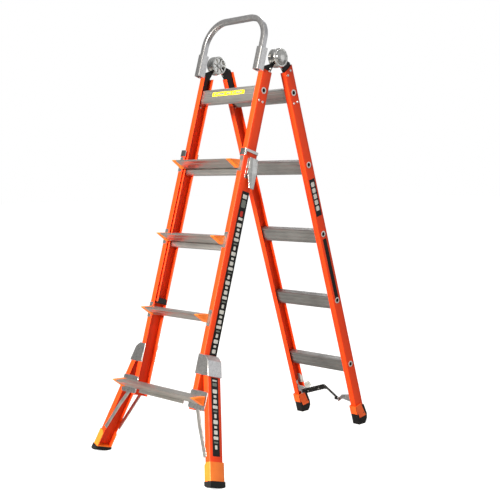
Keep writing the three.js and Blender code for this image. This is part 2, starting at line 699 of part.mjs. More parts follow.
// Each bracket bolts inside a rail's web and holds one end of the V bar.
function vBracketSolid(side) {
  const web = innerHalf - inner.wall - gap;
  const plate = backward(-innerFace + inner.wall + 1);
  const t = vBracket.thick;
  const low = vBarZ - vBracket.height / 2;
  const high = vBarZ + vBracket.height / 2;
  const inX = lugEnd + gap;
  const foot = sideBox(side, [web - t, web], [plate, backward(vBracket.back)], [low, high]);
  const wing = sweep('y', sideOutline(side, [
    [low, web], [high, web], [vBarZ + vBracket.ear, inX], [vBarZ - vBracket.ear, inX],
  ]), plate, plate + t);
  const lobe = sideBox(side, [inX, inX + t], [pinY - vBracket.ear, plate + t],
    [vBarZ - vBracket.ear, vBarZ + vBracket.ear]);
  const hole = roundBar(vBracket.pinRadius + gap, side * (inX - 1), side * (inX + t + 1), pinY, vBarZ, 16);
  return foot.add(wing).add(lobe).subtract(hole);
}

for (const [name, side] of sides) {
  place(back, `rear_rail_${name}`, rearRail(side), glassFibre);
  place(back, `rear_shoe_${name}`, rearShoe(side), rubber);
  place(back, `v_bar_bracket_${name}`, vBracketSolid(side), castAluminium);
}
rearLevels.forEach((level) => {
  place(back, `rear_rung_${rear.rungs - level}`, rungSolid(level, backward(0)), aluminium);
});
place(back, 'v_bar', vBarSolid(), blackSteel);

// Centre the whole over the origin, standing on z = 0.
ladder.updateMatrixWorld(true);
const bounds = new THREE.Box3().setFromObject(ladder, true);
const middle = bounds.getCenter(new THREE.Vector3());
ladder.position.set(-middle.x, -middle.y, -bounds.min.z);
ladder.updateMatrixWorld(true);

export default ladder;
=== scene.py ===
import json
import math
import bmesh
import bpy
from mathutils import Matrix, Vector


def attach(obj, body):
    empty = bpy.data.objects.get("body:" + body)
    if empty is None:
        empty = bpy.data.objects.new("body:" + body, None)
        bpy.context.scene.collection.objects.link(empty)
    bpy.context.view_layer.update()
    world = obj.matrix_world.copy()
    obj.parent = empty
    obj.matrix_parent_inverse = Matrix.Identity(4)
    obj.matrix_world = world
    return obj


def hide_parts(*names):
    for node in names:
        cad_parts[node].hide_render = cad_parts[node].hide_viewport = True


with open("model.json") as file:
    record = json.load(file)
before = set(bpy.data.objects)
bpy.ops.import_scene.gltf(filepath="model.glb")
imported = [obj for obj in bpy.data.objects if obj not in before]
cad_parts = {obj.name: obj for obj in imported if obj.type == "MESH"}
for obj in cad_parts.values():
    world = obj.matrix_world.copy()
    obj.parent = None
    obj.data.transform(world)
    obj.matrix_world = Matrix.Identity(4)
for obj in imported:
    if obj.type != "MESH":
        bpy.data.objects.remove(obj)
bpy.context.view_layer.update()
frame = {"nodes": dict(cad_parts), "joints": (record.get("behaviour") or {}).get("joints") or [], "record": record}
nodes = frame["nodes"]
joints = {j["name"]: j for j in frame["joints"]}
slotOf = {s["node"]: s["material_slot"] for s in frame["record"]["subparts"]}
sides = [("left", -1), ("right", 1)]
mm = 0.001


# Where things are: each section has its own frame, z up along its rails, origin on the hinge axis.
def grainOf(node):  # direction of a node's longest real edge, pointing up
    bm = bmesh.new()
    bm.from_mesh(nodes[node].data)
    bmesh.ops.remove_doubles(bm, verts=bm.verts, dist=2e-6)
    bmesh.ops.dissolve_limit(bm, angle_limit=math.radians(1.5), verts=bm.verts, edges=bm.edges)
    longest = max(bm.edges, key=lambda e: e.calc_length())
    run = (longest.verts[0].co - longest.verts[1].co).normalized()
    bm.free()
    return run if run.z > 0 else -run


def frameAlong(up, back):  # z along up, y toward back, in metres
    zAxis = up.normalized()
    yAxis = (back - zAxis * back.dot(zAxis)).normalized()
    return Matrix((yAxis.cross(zAxis), yAxis, zAxis)).transposed().to_4x4()


hingePoint = Vector(joints["fold"]["pos_m"])
frontUp = Vector(joints["telescope"]["axis"])
frontFrame = Matrix.Translation(hingePoint) @ frameAlong(frontUp, Vector((0, 1, 0)))
rearUp = grainOf("rear_rail_left")
rearFrame = Matrix.Translation(hingePoint) @ frameAlong(rearUp, Vector((0, 1, 0)))
frontTilt = math.atan2(frontUp.y, frontUp.z)
rearTilt = math.atan2(rearUp.y, rearUp.z)


def localBox(node, place):  # lowest and highest corner of a CAD node in a section's frame, in mm
    back = place.inverted()
    points = [back @ v.co for v in nodes[node].data.vertices]
    low = Vector([min(p[i] for p in points) for i in range(3)]) / mm
    high = Vector([max(p[i] for p in points) for i in range(3)]) / mm
    return low, high


def middleOf(node, place):
    low, high = localBox(node, place)
    return (low + high) / 2


rungTop = 20  # from the middle of a rung's tube end up to the rung's top


def tubeCentre(node, place):  # y and z of a rung's tube end, and how far out it reaches
    low, high = localBox(node, place)
    return (low.y + high.y) / 2, high.z - rungTop, high.x


def legFrame(side):  # a flared leg leans out from its rail
    name = "left" if side < 0 else "right"
    lean = frameAlong(grainOf("flared_leg_" + name), frontFrame.to_3x3() @ Vector((0, 1, 0)))
    return Matrix.Translation(hingePoint) @ lean


# Materials: each has a broad pattern that tints it and a fine one that sets its gloss and relief, in mm.
def toLinear(hexColour):
    hexColour = hexColour.lstrip("#")
    parts = [int(hexColour[i:i + 2], 16) / 255 for i in (0, 2, 4)]
    return tuple(c / 12.92 if c <= 0.04045 else ((c + 0.055) / 1.055) ** 2.4 for c in parts) + (1.0,)


# Values are numbers, colours or sockets to link from.
def addNode(tree, kind, values=None, stops=(), **settings):
    node = tree.nodes.new(kind)
    for name, setting in settings.items():
        setattr(node, name, setting)
    for name, value in (values or {}).items():
        if isinstance(value, bpy.types.NodeSocket):
            tree.links.new(value, node.inputs[name])
        else:
            node.inputs[name].default_value = value
    for element, (position, hexColour) in zip(node.color_ramp.elements if stops else (), stops):
        element.position = position
        element.color = toLinear(hexColour)
    return node


def makeMaterial(name, colours, roughness, tint, grain, depth, tilt=0.0, texture="ShaderNodeTexNoise", **shader):
    material = bpy.data.materials.new(name)
    material.use_nodes = True
    tree = material.node_tree
    surface = tree.nodes["Principled BSDF"]
    for socket, value in shader.items():
        surface.inputs[socket.replace("_", " ")].default_value = value
    where = addNode(tree, "ShaderNodeTexCoord")
    turned = addNode(tree, "ShaderNodeMapping", {"Vector": where.outputs["Object"], "Rotation": (tilt, 0, 0)})
    broadSpace = addNode(tree, "ShaderNodeMapping", {
        "Vector": turned.outputs["Vector"], "Scale": tuple(1000 / size for size in tint)})
    fineSpace = addNode(tree, "ShaderNodeMapping", {
        "Vector": turned.outputs["Vector"], "Scale": tuple(1000 / size for size in grain)})
    broad = addNode(tree, "ShaderNodeTexNoise", {
        "Vector": broadSpace.outputs["Vector"], "Scale": 1.0, "Detail": 3.0})
    fine = addNode(tree, texture, {"Vector": fineSpace.outputs["Vector"], "Scale": 1.0, "Detail": 4.0})
    mixed = addNode(tree, "ShaderNodeMix", {
        "Factor": 0.4, "A": broad.outputs["Fac"], "B": fine.outputs[0]}, data_type="FLOAT")
    colour = addNode(tree, "ShaderNodeValToRGB", {"Fac": mixed.outputs["Result"]},
                     stops=[(0.35, colours[0]), (0.65, colours[1])])
    gloss = addNode(tree, "ShaderNodeMapRange", {
        "Value": fine.outputs[0], "From Min": 0.3, "From Max": 0.7,
        "To Min": roughness[0], "To Max": roughness[1]})
    relief = addNode(tree, "ShaderNodeBump", {
        "Height": fine.outputs[0], "Distance": depth * mm, "Strength": 0.5})
    tree.links.new(colour.outputs["Color"], surface.inputs["Base Color"])
    tree.links.new(gloss.outputs["Result"], surface.inputs["Roughness"])
    tree.links.new(relief.outputs["Normal"], surface.inputs["Normal"])
    return material


# Pultruded glass fibre: dyed resin with faint streaks along the pull and a satin gloss.
# Its fibres are a few hundredths of a millimetre; they are drawn coarser so that they show.
fibre = dict(colours=("#E63A09", "#F1450D"), roughness=(0.4, 0.54), tint=(70, 70, 260), grain=(1.6, 1.6, 160),
             depth=0.12, IOR=1.5, Specular_IOR_Level=0.3)
frontFibre = makeMaterial("pultrudedGlassFibreFront", tilt=frontTilt, **fibre)
rearFibre = makeMaterial("pultrudedGlassFibreRear", tilt=rearTilt, **fibre)
# Sawn glass fibre: paler, matt and dotted with cut strands.
sawnFibre = makeMaterial("sawnGlassFibre", ("#F46A2C", "#FFA56A"), (0.6, 0.8), (6, 6, 6), (0.8, 0.8, 0.8), 0.1,
                         texture="ShaderNodeTexVoronoi", IOR=1.5)
# Extruded aluminium with a mill finish: fine die lines along the rung, a soft grey sheen.
extruded = dict(roughness=(0.3, 0.42), tint=(90, 34, 34), grain=(400, 0.9, 0.9), depth=0.05, Metallic=1.0)
frontExtrusion = makeMaterial("extrudedAluminiumFront", ("#C9C7C4", "#DDDBD8"), tilt=frontTilt, **extruded)
treadExtrusion = makeMaterial("extrudedAluminiumTread", ("#B4B1AD", "#C8C6C2"), tilt=frontTilt, **extruded)
# Painted shade: the rear rungs use the same aluminium with a darker colour, standing in for the shade they sit in
# behind the front section.
shadedRearExtrusion = makeMaterial("extrudedAluminiumRearPaintedShade", ("#979796", "#B2B2B1"), tilt=rearTilt, **extruded)
# Drawn aluminium tube: die lines run round the bend, so the scratches are drawn in no one direction.
drawnTube = makeMaterial("drawnAluminiumTube", ("#BEBEC0", "#D0D0D2"), (0.28, 0.38), (16, 16, 16), (4, 4, 12),
                         0.006, tilt=frontTilt, Metallic=1.0)
# Die-cast aluminium, tumbled: a slightly pebbled satin grey.
castAluminium = makeMaterial("dieCastAluminium", ("#C0C0C1", "#DADADB"), (0.26, 0.38), (9, 9, 9), (3, 3, 3),
                             0.025, Metallic=1.0)
# Polished cast steel: bright and slightly wavy, so reflections break up into light and dark.
drumSteel = makeMaterial("polishedCastSteel", ("#C4C4C2", "#DADAD7"), (0.08, 0.2), (14, 14, 14), (9, 9, 9), 1.1,
                         Metallic=1.0)
# Zinc-plated pressed steel: smooth and bright with a faint bloom.
leverSteel = makeMaterial("zincPlatedSteel", ("#BCBCBB", "#D2D2D0"), (0.16, 0.3), (20, 20, 20), (12, 12, 12),
                          0.3, Metallic=1.0)
# Peened aluminium rivets: bright, soft-edged.
rivetAluminium = makeMaterial("peenedRivetAluminium", ("#DCDAD6", "#EFEDE9"), (0.25, 0.4), (4, 4, 4),
                              (1.2, 1.2, 1.2), 0.05, Metallic=1.0)
# Powder-coated steel: black with a fine orange peel.
blackSteel = makeMaterial("blackPowderCoatedSteel", ("#080809", "#111113"), (0.34, 0.5), (20, 20, 20),
                          (1.2, 1.2, 1.2), 0.08, IOR=1.5, Specular_IOR_Level=0.3)
# Moulded nylon: a fine spark-eroded grain and a soft sheen.
moulded = dict(roughness=(0.4, 0.56), tint=(35, 35, 35), grain=(0.9, 0.9, 0.9), depth=0.08, IOR=1.53)
orangeNylon = makeMaterial("mouldedNylonOrange", ("#F07114", "#FA8120"), **moulded)
deepNylon = makeMaterial("mouldedNylonDeepOrange", ("#EC540E", "#F6621A"), **moulded)
greyNylon = makeMaterial("mouldedNylonGrey", ("#A3A8A6", "#BCC0BE"), **moulded)
blackNylon = makeMaterial("mouldedNylonBlack", ("#0D0D0E", "#171718"), **moulded)
# Painted shade: near-black colour on the shallow bore in each rung end, standing in for the shadow down the hollow
# tube.
paintedBoreShade = makeMaterial("tubeBorePaintedShade", ("#040404", "#080808"), (0.7, 0.85), (9, 9, 9), (1, 1, 1), 0.05)
# Moulded rubber: nearly black, dusty and matt.
rubber = makeMaterial("mouldedRubber", ("#0B0B0C", "#1A1A1B"), (0.5, 0.75), (18, 18, 18), (1.1, 1.1, 1.1), 0.15,
                      IOR=1.52, Specular_IOR_Level=0.25)
# Printed vinyl film: flat ink under a thin laminate, with a faint print mottle.
film = dict(roughness=(0.3, 0.42), tint=(8, 8, 8), grain=(3, 3, 3), depth=0.02, IOR=1.5, Specular_IOR_Level=0.25)
blackFilm = makeMaterial("printedVinylBlack", ("#080809", "#0E0E0F"), **film)
whiteInk = makeMaterial("printedVinylWhite", ("#C9C8C2", "#DEDDD7"), **film)
greyInk = makeMaterial("printedVinylGrey", ("#6A706A", "#7A807A"), **film)
yellowInk = makeMaterial("printedVinylYellow", ("#E3CB16", "#EDD92A"), **film)
redInk = makeMaterial("printedVinylRed", ("#B92C20", "#C8372A"), **film)
print("materials made")

slotMaterial = {
    "glass_fibre_rail": frontFibre, "orange_plastic": orangeNylon, "rubber": rubber, "black_plastic": blackNylon,
    "cast_aluminium": castAluminium, "extruded_aluminium": frontExtrusion, "handle_aluminium": drawnTube,
    "polished_steel": drumSteel, "black_steel": blackSteel,
}
bodyOf = {n: b for b, members in frame["record"]["behaviour"]["bodies"].items() for n in members}
for nodeName, cadObject in nodes.items():  # every CAD node has a made material, shown or not
    cadObject.data.materials.clear()
    cadObject.data.materials.append(slotMaterial[slotOf[nodeName]])


# Shared ways of making a piece, in millimetres and in a section's own frame.
def roundCorners(points, radii, steps=4):  # fillets each corner of an outline; one radius or one for each
    if not isinstance(radii, (list, tuple)):
        radii = [radii] * len(points)
    corners = [Vector(p) for p in points]
    result = []
    for i, corner in enumerate(corners):
        toLast = corners[i - 1] - corner
        toNext = corners[(i + 1) % len(corners)] - corner
        angle = toLast.angle(toNext)
        if radii[i] <= 0 or angle > 3.1:
            result.append(corner)
            continue
        cut = min(radii[i] / math.tan(angle / 2), toLast.length * 0.49, toNext.length * 0.49)
        start = corner + toLast.normalized() * cut
        end = corner + toNext.normalized() * cut
        weight = math.sin(angle / 2)
        for k in range(steps + 1):
            t = k / steps
            a, b, c = (1 - t) ** 2, 2 * t * (1 - t) * weight, t * t
            result.append((start * a + corner * b + end * c) / (a + b + c))
    return result


def quad(u0, v0, u1, v1):  # a rectangle's outline, from one corner to the opposite one
    return [(u0, v0), (u1, v0), (u1, v1), (u0, v1)]


def place3(axis, u, v, w):  # outline coordinates: (y, z) along x, (x, z) along y, (x, y) along z
    return {"x": (w, u, v), "y": (u, w, v), "z": (u, v, w)}[axis]


def extrude(outline, axis, start, end):
    bm = bmesh.new()
    low = [bm.verts.new(place3(axis, p[0], p[1], start)) for p in outline]
    high = [bm.verts.new(place3(axis, p[0], p[1], end)) for p in outline]
    for i in range(len(outline)):
        j = (i + 1) % len(outline)
        bm.faces.new((low[i], low[j], high[j], high[i]))
    bm.faces.new(low)
    bm.faces.new(high)
    bmesh.ops.recalc_face_normals(bm, faces=bm.faces)
    return bm


def loft(rings, closed=False):  # joins rings of equal length, with end faces unless closed
    bm = bmesh.new()
    rows = [[bm.verts.new(p) for p in ring] for ring in rings]
    for k in range(len(rows) - (0 if closed else 1)):
        a, b = rows[k], rows[(k + 1) % len(rows)]
        for i in range(len(a)):
            j = (i + 1) % len(a)
            bm.faces.new((a[i], a[j], b[j], b[i]))
    if not closed:
        bm.faces.new(rows[0])
        bm.faces.new(rows[-1])
    bmesh.ops.recalc_face_normals(bm, faces=bm.faces)
    return bm


# Turns a profile of (radius, distance along the axis), closed on the axis; facing -1 mirrors it.
def turn(profile, axis, middle, segments=32, facing=1):
    bm = bmesh.new()
    rows = []
    for radius, reach in profile:
        along = facing * reach
        if radius < 1e-6:
            rows.append([bm.verts.new(Vector(middle) + Vector(place3(axis, 0, 0, along)))])
            continue
        rows.append([bm.verts.new(Vector(middle) + Vector(place3(
            axis, radius * math.cos(a), radius * math.sin(a), along)))
            for a in (2 * math.pi * k / segments for k in range(segments))])
    for a, b in zip(rows, rows[1:]):
        for i in range(segments):
            j = (i + 1) % segments
            ring = [a[i % len(a)], a[j % len(a)], b[j % len(b)], b[i % len(b)]]
            bm.faces.new(list(dict.fromkeys(ring)))
    bmesh.ops.recalc_face_normals(bm, faces=bm.faces)
    return bm


def merge(*parts):  # several bmeshes in one
    whole = bmesh.new()
    for part in parts:
        scratch = bpy.data.meshes.new("scratch")
        part.to_mesh(scratch)
        part.free()
        whole.from_mesh(scratch)
        bpy.data.meshes.remove(scratch)
    return whole


def shift(bm, matrix):
    bmesh.ops.transform(bm, matrix=matrix, verts=bm.verts)
    return bm


def makePiece(name, bm, place, body, material, stands=(), bevel=0.0, smooth=35, segments=2):
    mesh = bpy.data.meshes.new(name)
    bmesh.ops.transform(bm, matrix=place @ Matrix.Scale(mm, 4), verts=bm.verts)
    bm.to_mesh(mesh)
    bm.free()
    piece = bpy.data.objects.new(name, mesh)
    bpy.context.scene.collection.objects.link(piece)
    for one in material if isinstance(material, (list, tuple)) else [material]:
        mesh.materials.append(one)
    mesh.shade_smooth()
    mesh.set_sharp_from_angle(angle=math.radians(smooth))
    if bevel:
        ease = piece.modifiers.new("easedEdges", "BEVEL")
        ease.width = bevel * mm
        ease.segments = segments
        ease.limit_method = "ANGLE"
        ease.angle_limit = math.radians(32)
        ease.harden_normals = True
    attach(piece, body)
    if stands:
        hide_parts(*stands)
    return piece


def easedCopy(node, bevel, material=None, smooth=35, segments=2):  # a CAD node's own shape with its edges eased
    bm = bmesh.new()
    bm.from_mesh(nodes[node].data)
    bmesh.ops.remove_doubles(bm, verts=bm.verts, dist=2e-6)
    bmesh.ops.dissolve_limit(bm, angle_limit=math.radians(1.5), verts=bm.verts, edges=bm.edges)
    bmesh.ops.recalc_face_normals(bm, faces=bm.faces)
    place = Matrix.Scale(1 / mm, 4)
    return makePiece("eased_" + node, bm, place, bodyOf[node], material or slotMaterial[slotOf[node]],
                     [node], bevel, smooth, segments)


def cutAway(piece, bm, place):  # takes a shape given in a section's frame out of a piece
    mesh = bpy.data.meshes.new("cutter")
    bmesh.ops.transform(bm, matrix=place @ Matrix.Scale(mm, 4), verts=bm.verts)
    bm.to_mesh(mesh)
    bm.free()
    cutter = bpy.data.objects.new("cutter", mesh)
    bpy.context.scene.collection.objects.link(cutter)
    hollow = piece.modifiers.new("cut", "BOOLEAN")
    hollow.operation = "DIFFERENCE"
    hollow.solver = "EXACT"
    hollow.object = cutter
    while piece.modifiers[0] != hollow:
        piece.modifiers.move(len(piece.modifiers) - 1, 0)
    view = bpy.context.evaluated_depsgraph_get()
    for other in piece.modifiers:
        other.show_viewport = other == hollow
    view.update()
    cut = bpy.data.meshes.new_from_object(piece.evaluated_get(view))
    piece.modifiers.remove(hollow)
    piece.data = cut
    for other in piece.modifiers:
        other.show_viewport = True
    bpy.data.objects.remove(cutter)
    cut.set_sharp_from_angle(angle=math.radians(35))


rivetHead = {"radius": 5.2, "rise": 2.2, "steps": 4}


def rivet(axis, facing, middle, radius=None, rise=None):  # a domed head standing on a face
    r = radius or rivetHead["radius"]
    h = rise or rivetHead["rise"]
    profile = [(0, -0.4), (r, -0.4), (r, h * 0.25)]
    for k in range(1, rivetHead["steps"] + 1):
        a = math.pi / 2 * k / rivetHead["steps"]
        profile.append((r * math.cos(a), h * (0.25 + 0.75 * math.sin(a))))
    profile[-1] = (0, h)
    return turn(profile, axis, middle, 16, facing)


# Channel rails: pultruded, with sawn ends.
rail = {"wall": 3.0, "outerCorner": 2.6, "innerCorner": 2.0, "tip": 1.1, "sawn": 0.4,
        "slantFront": 68, "slantBack": 42}  # the rear rails' slanting tops, below the hinge axis
ferruleHole = {"radius": 10.2, "halfDepth": 8}  # the hole a rung's tube end passes through


def channelOutline(low, high, side):
    web = high.x if side > 0 else low.x
    tip = low.x if side > 0 else high.x
    w = rail["wall"]
    points = [(tip, low.y), (web, low.y), (web, high.y), (tip, high.y),
              (tip, high.y - w), (web - side * w, high.y - w), (web - side * w, low.y + w), (tip, low.y + w)]
    o, i, t = rail["outerCorner"], rail["innerCorner"], rail["tip"]
    return roundCorners(points, [t, o, o, t, t, i, i, t])


def channelRail(node, place, side, material):
    low, high = localBox(node, place)
    bm = extrude(channelOutline(low, high, side), "z", low.z, high.z)
    for face in bm.faces:
        if abs(face.normal.z) > 0.9:
            face.material_index = 1
    return makePiece(node.replace("_rail", "_channel") + "_pultrusion", bm, place, bodyOf[node],
                     [material, sawnFibre], [node], rail["sawn"], 40)


for sideName, side in sides:
    channelRail("outer_rail_" + sideName, frontFrame, side, frontFibre)
    innerRail = channelRail("inner_rail_" + sideName, frontFrame, side, frontFibre)
    rearRail = channelRail("rear_rail_" + sideName, rearFrame, side, rearFibre)
    channelRail("flared_leg_" + sideName, legFrame(side), side, frontFibre)
    low, high = localBox("rear_rail_" + sideName, rearFrame)
    front, back, spare = -rail["slantFront"], -rail["slantBack"], 6
    slant = [(low.y - spare, front), (high.y, back), (high.y + spare, back), (high.y + spare, 0),
             (low.y - spare, 0)]
    cutAway(rearRail, extrude(slant, "x", low.x - 5, high.x + 5), rearFrame)
    drilled = (("inner", innerRail, frontFrame, 3), ("rear", rearRail, rearFrame, 5))
    for section, channel, place, count in drilled:
        web = localBox(section + "_rail_" + sideName, place)[side > 0].x
        radius, depth = ferruleHole["radius"], ferruleHole["halfDepth"]
        drills = []
        for number in range(1, count + 1):
            y, z, _ = tubeCentre(f"{section}_rung_{number}", place)
            bit = [(0, web - depth), (radius, web - depth), (radius, web + depth), (0, web + depth)]
            drills.append(turn(bit, "x", (0, y, z), 24))
        cutAway(channel, merge(*drills), place)
print("rails made")

# Rungs: extruded, with a ferrule rolled over the web at each end.
rungShape = {"halfDepth": 17, "above": rungTop, "below": 38, "ribs": 6, "ribRise": 1.1, "ribStart": 2.5}
ferruleShape = {"bore": 8, "tube": 9.6, "rim": 13.4, "rimThick": 1.4, "boxShort": 3.6}


# A fluted box with a ribbed top, a groove and a step down each face, narrower at its foot.
def rungOutline():
    r = rungShape
    d, top, foot = r["halfDepth"], r["above"], -r["below"]
    right = [(d, top - 3), (d, 8.5), (d - 1.6, 7.2), (d - 1.6, 4.6), (d, 3.2), (d, -12.5), (d - 1.0, -13.4),
             (d - 1.0, -15.0), (d, -16), (d - 0.4, -24), (d - 2.6, -32), (d - 4.6, foot)]
    left = [(-y, z) for y, z in reversed(right)]
    pitch = 2 * (d - r["ribStart"]) / r["ribs"]
    ribs = []
    for k in range(r["ribs"]):
        start = -d + r["ribStart"] + k * pitch
        ribs += [(start + pitch * 0.18, top - r["ribRise"]), (start + pitch * 0.32, top),
                 (start + pitch * 0.68, top), (start + pitch * 0.82, top - r["ribRise"])]
    return roundCorners(right + left + ribs, 0.5, 2)


def makeRung(node, place, material):
    f = ferruleShape
    y, z, tip = tubeCentre(node, place)
    web = tip - f["rimThick"]  # inner side of the rolled rim
    half = web - f["boxShort"]
    box = extrude([(p[0] + y, p[1] + z) for p in rungOutline()], "x", -half, half)
    ends = []
    for end in (-1, 1):
        profile = [(0, half + 0.4), (f["bore"], half + 0.4), (f["bore"], tip - 1.0), (f["bore"] + 0.9, tip - 0.2),
                   (f["bore"] + 2.4, tip), (f["rim"] - 0.9, tip - 0.3), (f["rim"], tip - 0.9), (f["rim"], web),
                   (f["tube"], web), (f["tube"], half - 1), (0, half - 1)]
        ring = turn(profile, "x", (0, y, z), 32, end)
        for face in ring.faces:
            # Faces inside the bore get the painted shade; the rolled rim gets bright aluminium.
            reach = max(math.hypot(v.co.y - y, v.co.z - z) for v in face.verts)
            face.material_index = 1 if reach < f["bore"] + 0.1 else 2
        ends.append(ring)
    makePiece(node + "_extrusion", merge(box, *ends), place, bodyOf[node], [material, paintedBoreShade, rivetAluminium],
              [node], 0, 28)


for number in (1, 2, 3):
    makeRung(f"inner_rung_{number}", frontFrame, frontExtrusion)
for number in (1, 2, 3, 4, 5):
    makeRung(f"rear_rung_{number}", rearFrame, shadedRearExtrusion)
print("rungs made")

# Treads: a wedge from the root to a rounded nose, with ribs on its top and plates behind to bolt it on.
treadShape = {"ribs": 14, "ribRise": 0.9, "ribStart": 5, "rise": 12.5, "rootDown": 20, "plate": 3, "capGap": 0.3,
              "tabInner": 168.3, "tabDown": 34, "tabUp": 29, "wing": 14, "apronDown": 32, "apronShort": 94}


def makeTread(node, lowest):
    t = treadShape
    low, high = localBox(node, frontFrame)
    root, nose, rise, plate = high.y, low.y, t["rise"], t["plate"]
    line = low.z + (t["apronDown"] if lowest else t["tabDown"])  # height of the tread's nose
    half = localBox(node + "_cap_right", frontFrame)[0].x - t["capGap"]
    run = root - nose
    pitch = (run - 2 * t["ribStart"]) / t["ribs"]
    ribs = []
    for k in range(t["ribs"]):
        for share, lift in ((0.1, 0), (0.25, 1), (0.6, 1), (0.75, 0)):
            y = nose + t["ribStart"] + (k + share) * pitch
            ribs.append(Vector((y, line + rise * (y - nose) / run - t["ribRise"] * (1 - lift))))
    corners = [(root, line + rise), (root, line - t["rootDown"]), (nose + 24, line - 11.2),
               (nose + 23, line - 11.9), (nose + 22, line - 10.6), (nose + 4, line - 5.5), (nose, line - 2.4),
               (nose, line)]
    outline = roundCorners(corners, [0.6, 0.6, 0, 0, 0, 1.6, 1.8, 1.2], 3) + ribs
    parts = [extrude(outline, "x", -half, half)]
    if lowest:
        flange = half - t["apronShort"]
        top, foot = line - t["rootDown"] + 1, line - t["apronDown"]
        apron = [(root, foot), (root, top), (root - plate, top), (root - plate, foot)]
        parts.append(extrude(roundCorners(apron, 0.8, 2), "x", -flange, flange))
    else:
        for side in (-1, 1):
            x0, x1 = side * t["tabInner"], side * high.x
            tab = roundCorners(quad(x0, line - t["tabDown"], x1, line + t["tabUp"]), 3.2, 4)
            wing = quad(side * (half - t["wing"]), line - t["rootDown"], x0 + side * 3, line + rise - 1.5)
            parts += [extrude(tab, "y", root - plate, root), extrude(wing, "y", root - plate, root)]
    makePiece(node + "_tread", merge(*parts), frontFrame, bodyOf[node], treadExtrusion, [node], 0, 30)


for number in (1, 2, 3, 4):
    makeTread(f"step_{number}", number == 1)
    for sideName, side in sides:
        easedCopy(f"step_{number}_cap_{sideName}", 1.4, segments=3)
print("treads made")

# Cast plates and straps keep the CAD shape, with their edges eased.
easing = {"step_gusset": 1.0, "leg_shoulder": 2.2, "leg_brace_front": 0.7, "leg_brace_rear": 0.7,
          "v_bar_bracket": 0.8, "rail_end_plug": 0.8}
for family, width in easing.items():
    for sideName, side in sides:
        easedCopy(f"{family}_{sideName}", width, segments=3)
print("castings made")

# Grab handle: a squarish drawn tube bent to a U.
grabHandle = {"corner": 3.0, "bend": 100, "bendSteps": 22, "half": 172, "crown": 0.9}


def makeHandle():
    h = grabHandle
    low, high = localBox("grab_handle", frontFrame)
    size = (high.y - low.y) / 2
    y, top, foot = (low.y + high.y) / 2, high.z - size - h["crown"], low.z
    path = [(-h["half"], foot)]
    for k in range(h["bendSteps"] + 1):
        a = math.pi / 2 * k / h["bendSteps"]
        path.append((-h["half"] + h["bend"] * (1 - math.cos(a)), top - h["bend"] * (1 - math.sin(a))))
    path = [Vector(q) for q in path + [(-q[0], q[1]) for q in reversed(path)]]
    square = roundCorners(quad(-size, -size, size, size), h["corner"], 4)
    rings = []
    for k, spot in enumerate(path):
        before = (spot - path[k - 1]).normalized() if k else (path[1] - spot).normalized()
        after = (path[k + 1] - spot).normalized() if k < len(path) - 1 else before
        along = (before + after).normalized()
        stretch = 1 / max(0.5, math.sqrt((1 + before.dot(after)) / 2))
        out = Vector((-along.y, along.x)) * stretch
        rings.append([(spot.x + out.x * u, y + v, spot.y + out.y * u) for u, v in square])
    makePiece("grab_handle_tube", loft(rings), frontFrame, "grab_handle", drawnTube,
              ["grab_handle"], 0, 30)


makeHandle()
print("handle made")

# Handle sockets: a square cast sleeve with a cheek bolted to the rail.
sleeve = {"corner": 3.5, "bore": 11.3, "cheekDip": 9, "cheekReach": 20, "gap": 0.3}
socketBolts = ((4, 12), (-12, 68), (8, 24))  # behind the sleeve, above its foot


def makeSocket(name, side):
    node = "handle_socket_" + name
    low, high = localBox(node, frontFrame)
    channel = localBox("inner_rail_" + name, frontFrame)
    railFace = abs(channel[side > 0].x) + sleeve["gap"]
    inX, outX = sorted((abs(low.x), abs(high.x)))
    back = channel[0].y - sleeve["gap"]
    c = sleeve["corner"]
    outline = roundCorners(quad(side * inX, low.y, side * outX, back), [2.5, c + 2.5, 0.6, 1.5], 5)
    tube = extrude(outline, "z", low.z, high.z)
    z0, z1, y0, y1 = low.z, high.z, back - 3, high.y
    tongue = y1 + sleeve["cheekReach"]  # the cheek runs on below the drum
    cheek = roundCorners([(y0, z0), (tongue - 12, z0), (tongue, z0 + sleeve["cheekDip"]), (tongue, z0 + 26),
                          (y1, z0 + 46), (y1, z1 - 8), (y1 - 10, z1), (y0, z1)], [0, 3, 3, 6, 8, 4, 4, 0], 4)
    plate = extrude(cheek, "x", side * railFace, side * outX)
    piece = makePiece(node + "_casting", merge(tube, plate), frontFrame, bodyOf[node], castAluminium,
                      [node], 0.7, 35)
    hole = localBox("grab_handle", frontFrame)
    middle = (hole[0].y + hole[1].y) / 2
    b, legX = sleeve["bore"], side * grabHandle["half"]
    bore = roundCorners(quad(legX - b, middle - b, legX + b, middle + b), 3.2, 4)
    cutAway(piece, extrude(bore, "z", low.z - 5, high.z + 5), frontFrame)


def makeSocketBolts(name, side):
    node = "handle_socket_" + name
    low, high = localBox(node, frontFrame)
    face = side * max(abs(low.x), abs(high.x))
    heads = [rivet("x", side, (face, high.y + y, low.z + z), 4.6, 2.0) for y, z in socketBolts]
    makePiece(node + "_bolts", merge(*heads), frontFrame, bodyOf[node], rivetAluminium, (), 0, 50)


for sideName, side in sides:
    makeSocket(sideName, side)
    makeSocketBolts(sideName, side)
print("sockets made")

# Ratchet hinges: two notched drums, black arms and a domed button.
hinge = {"notches": 10, "notchDepth": 2.6, "notchShare": 0.32, "flangeStep": 2.2, "lugs": 12, "ribs": 7,
         "recess": 12.5, "halfFlange": 13, "armThick": 4.5, "gap": 0.3}


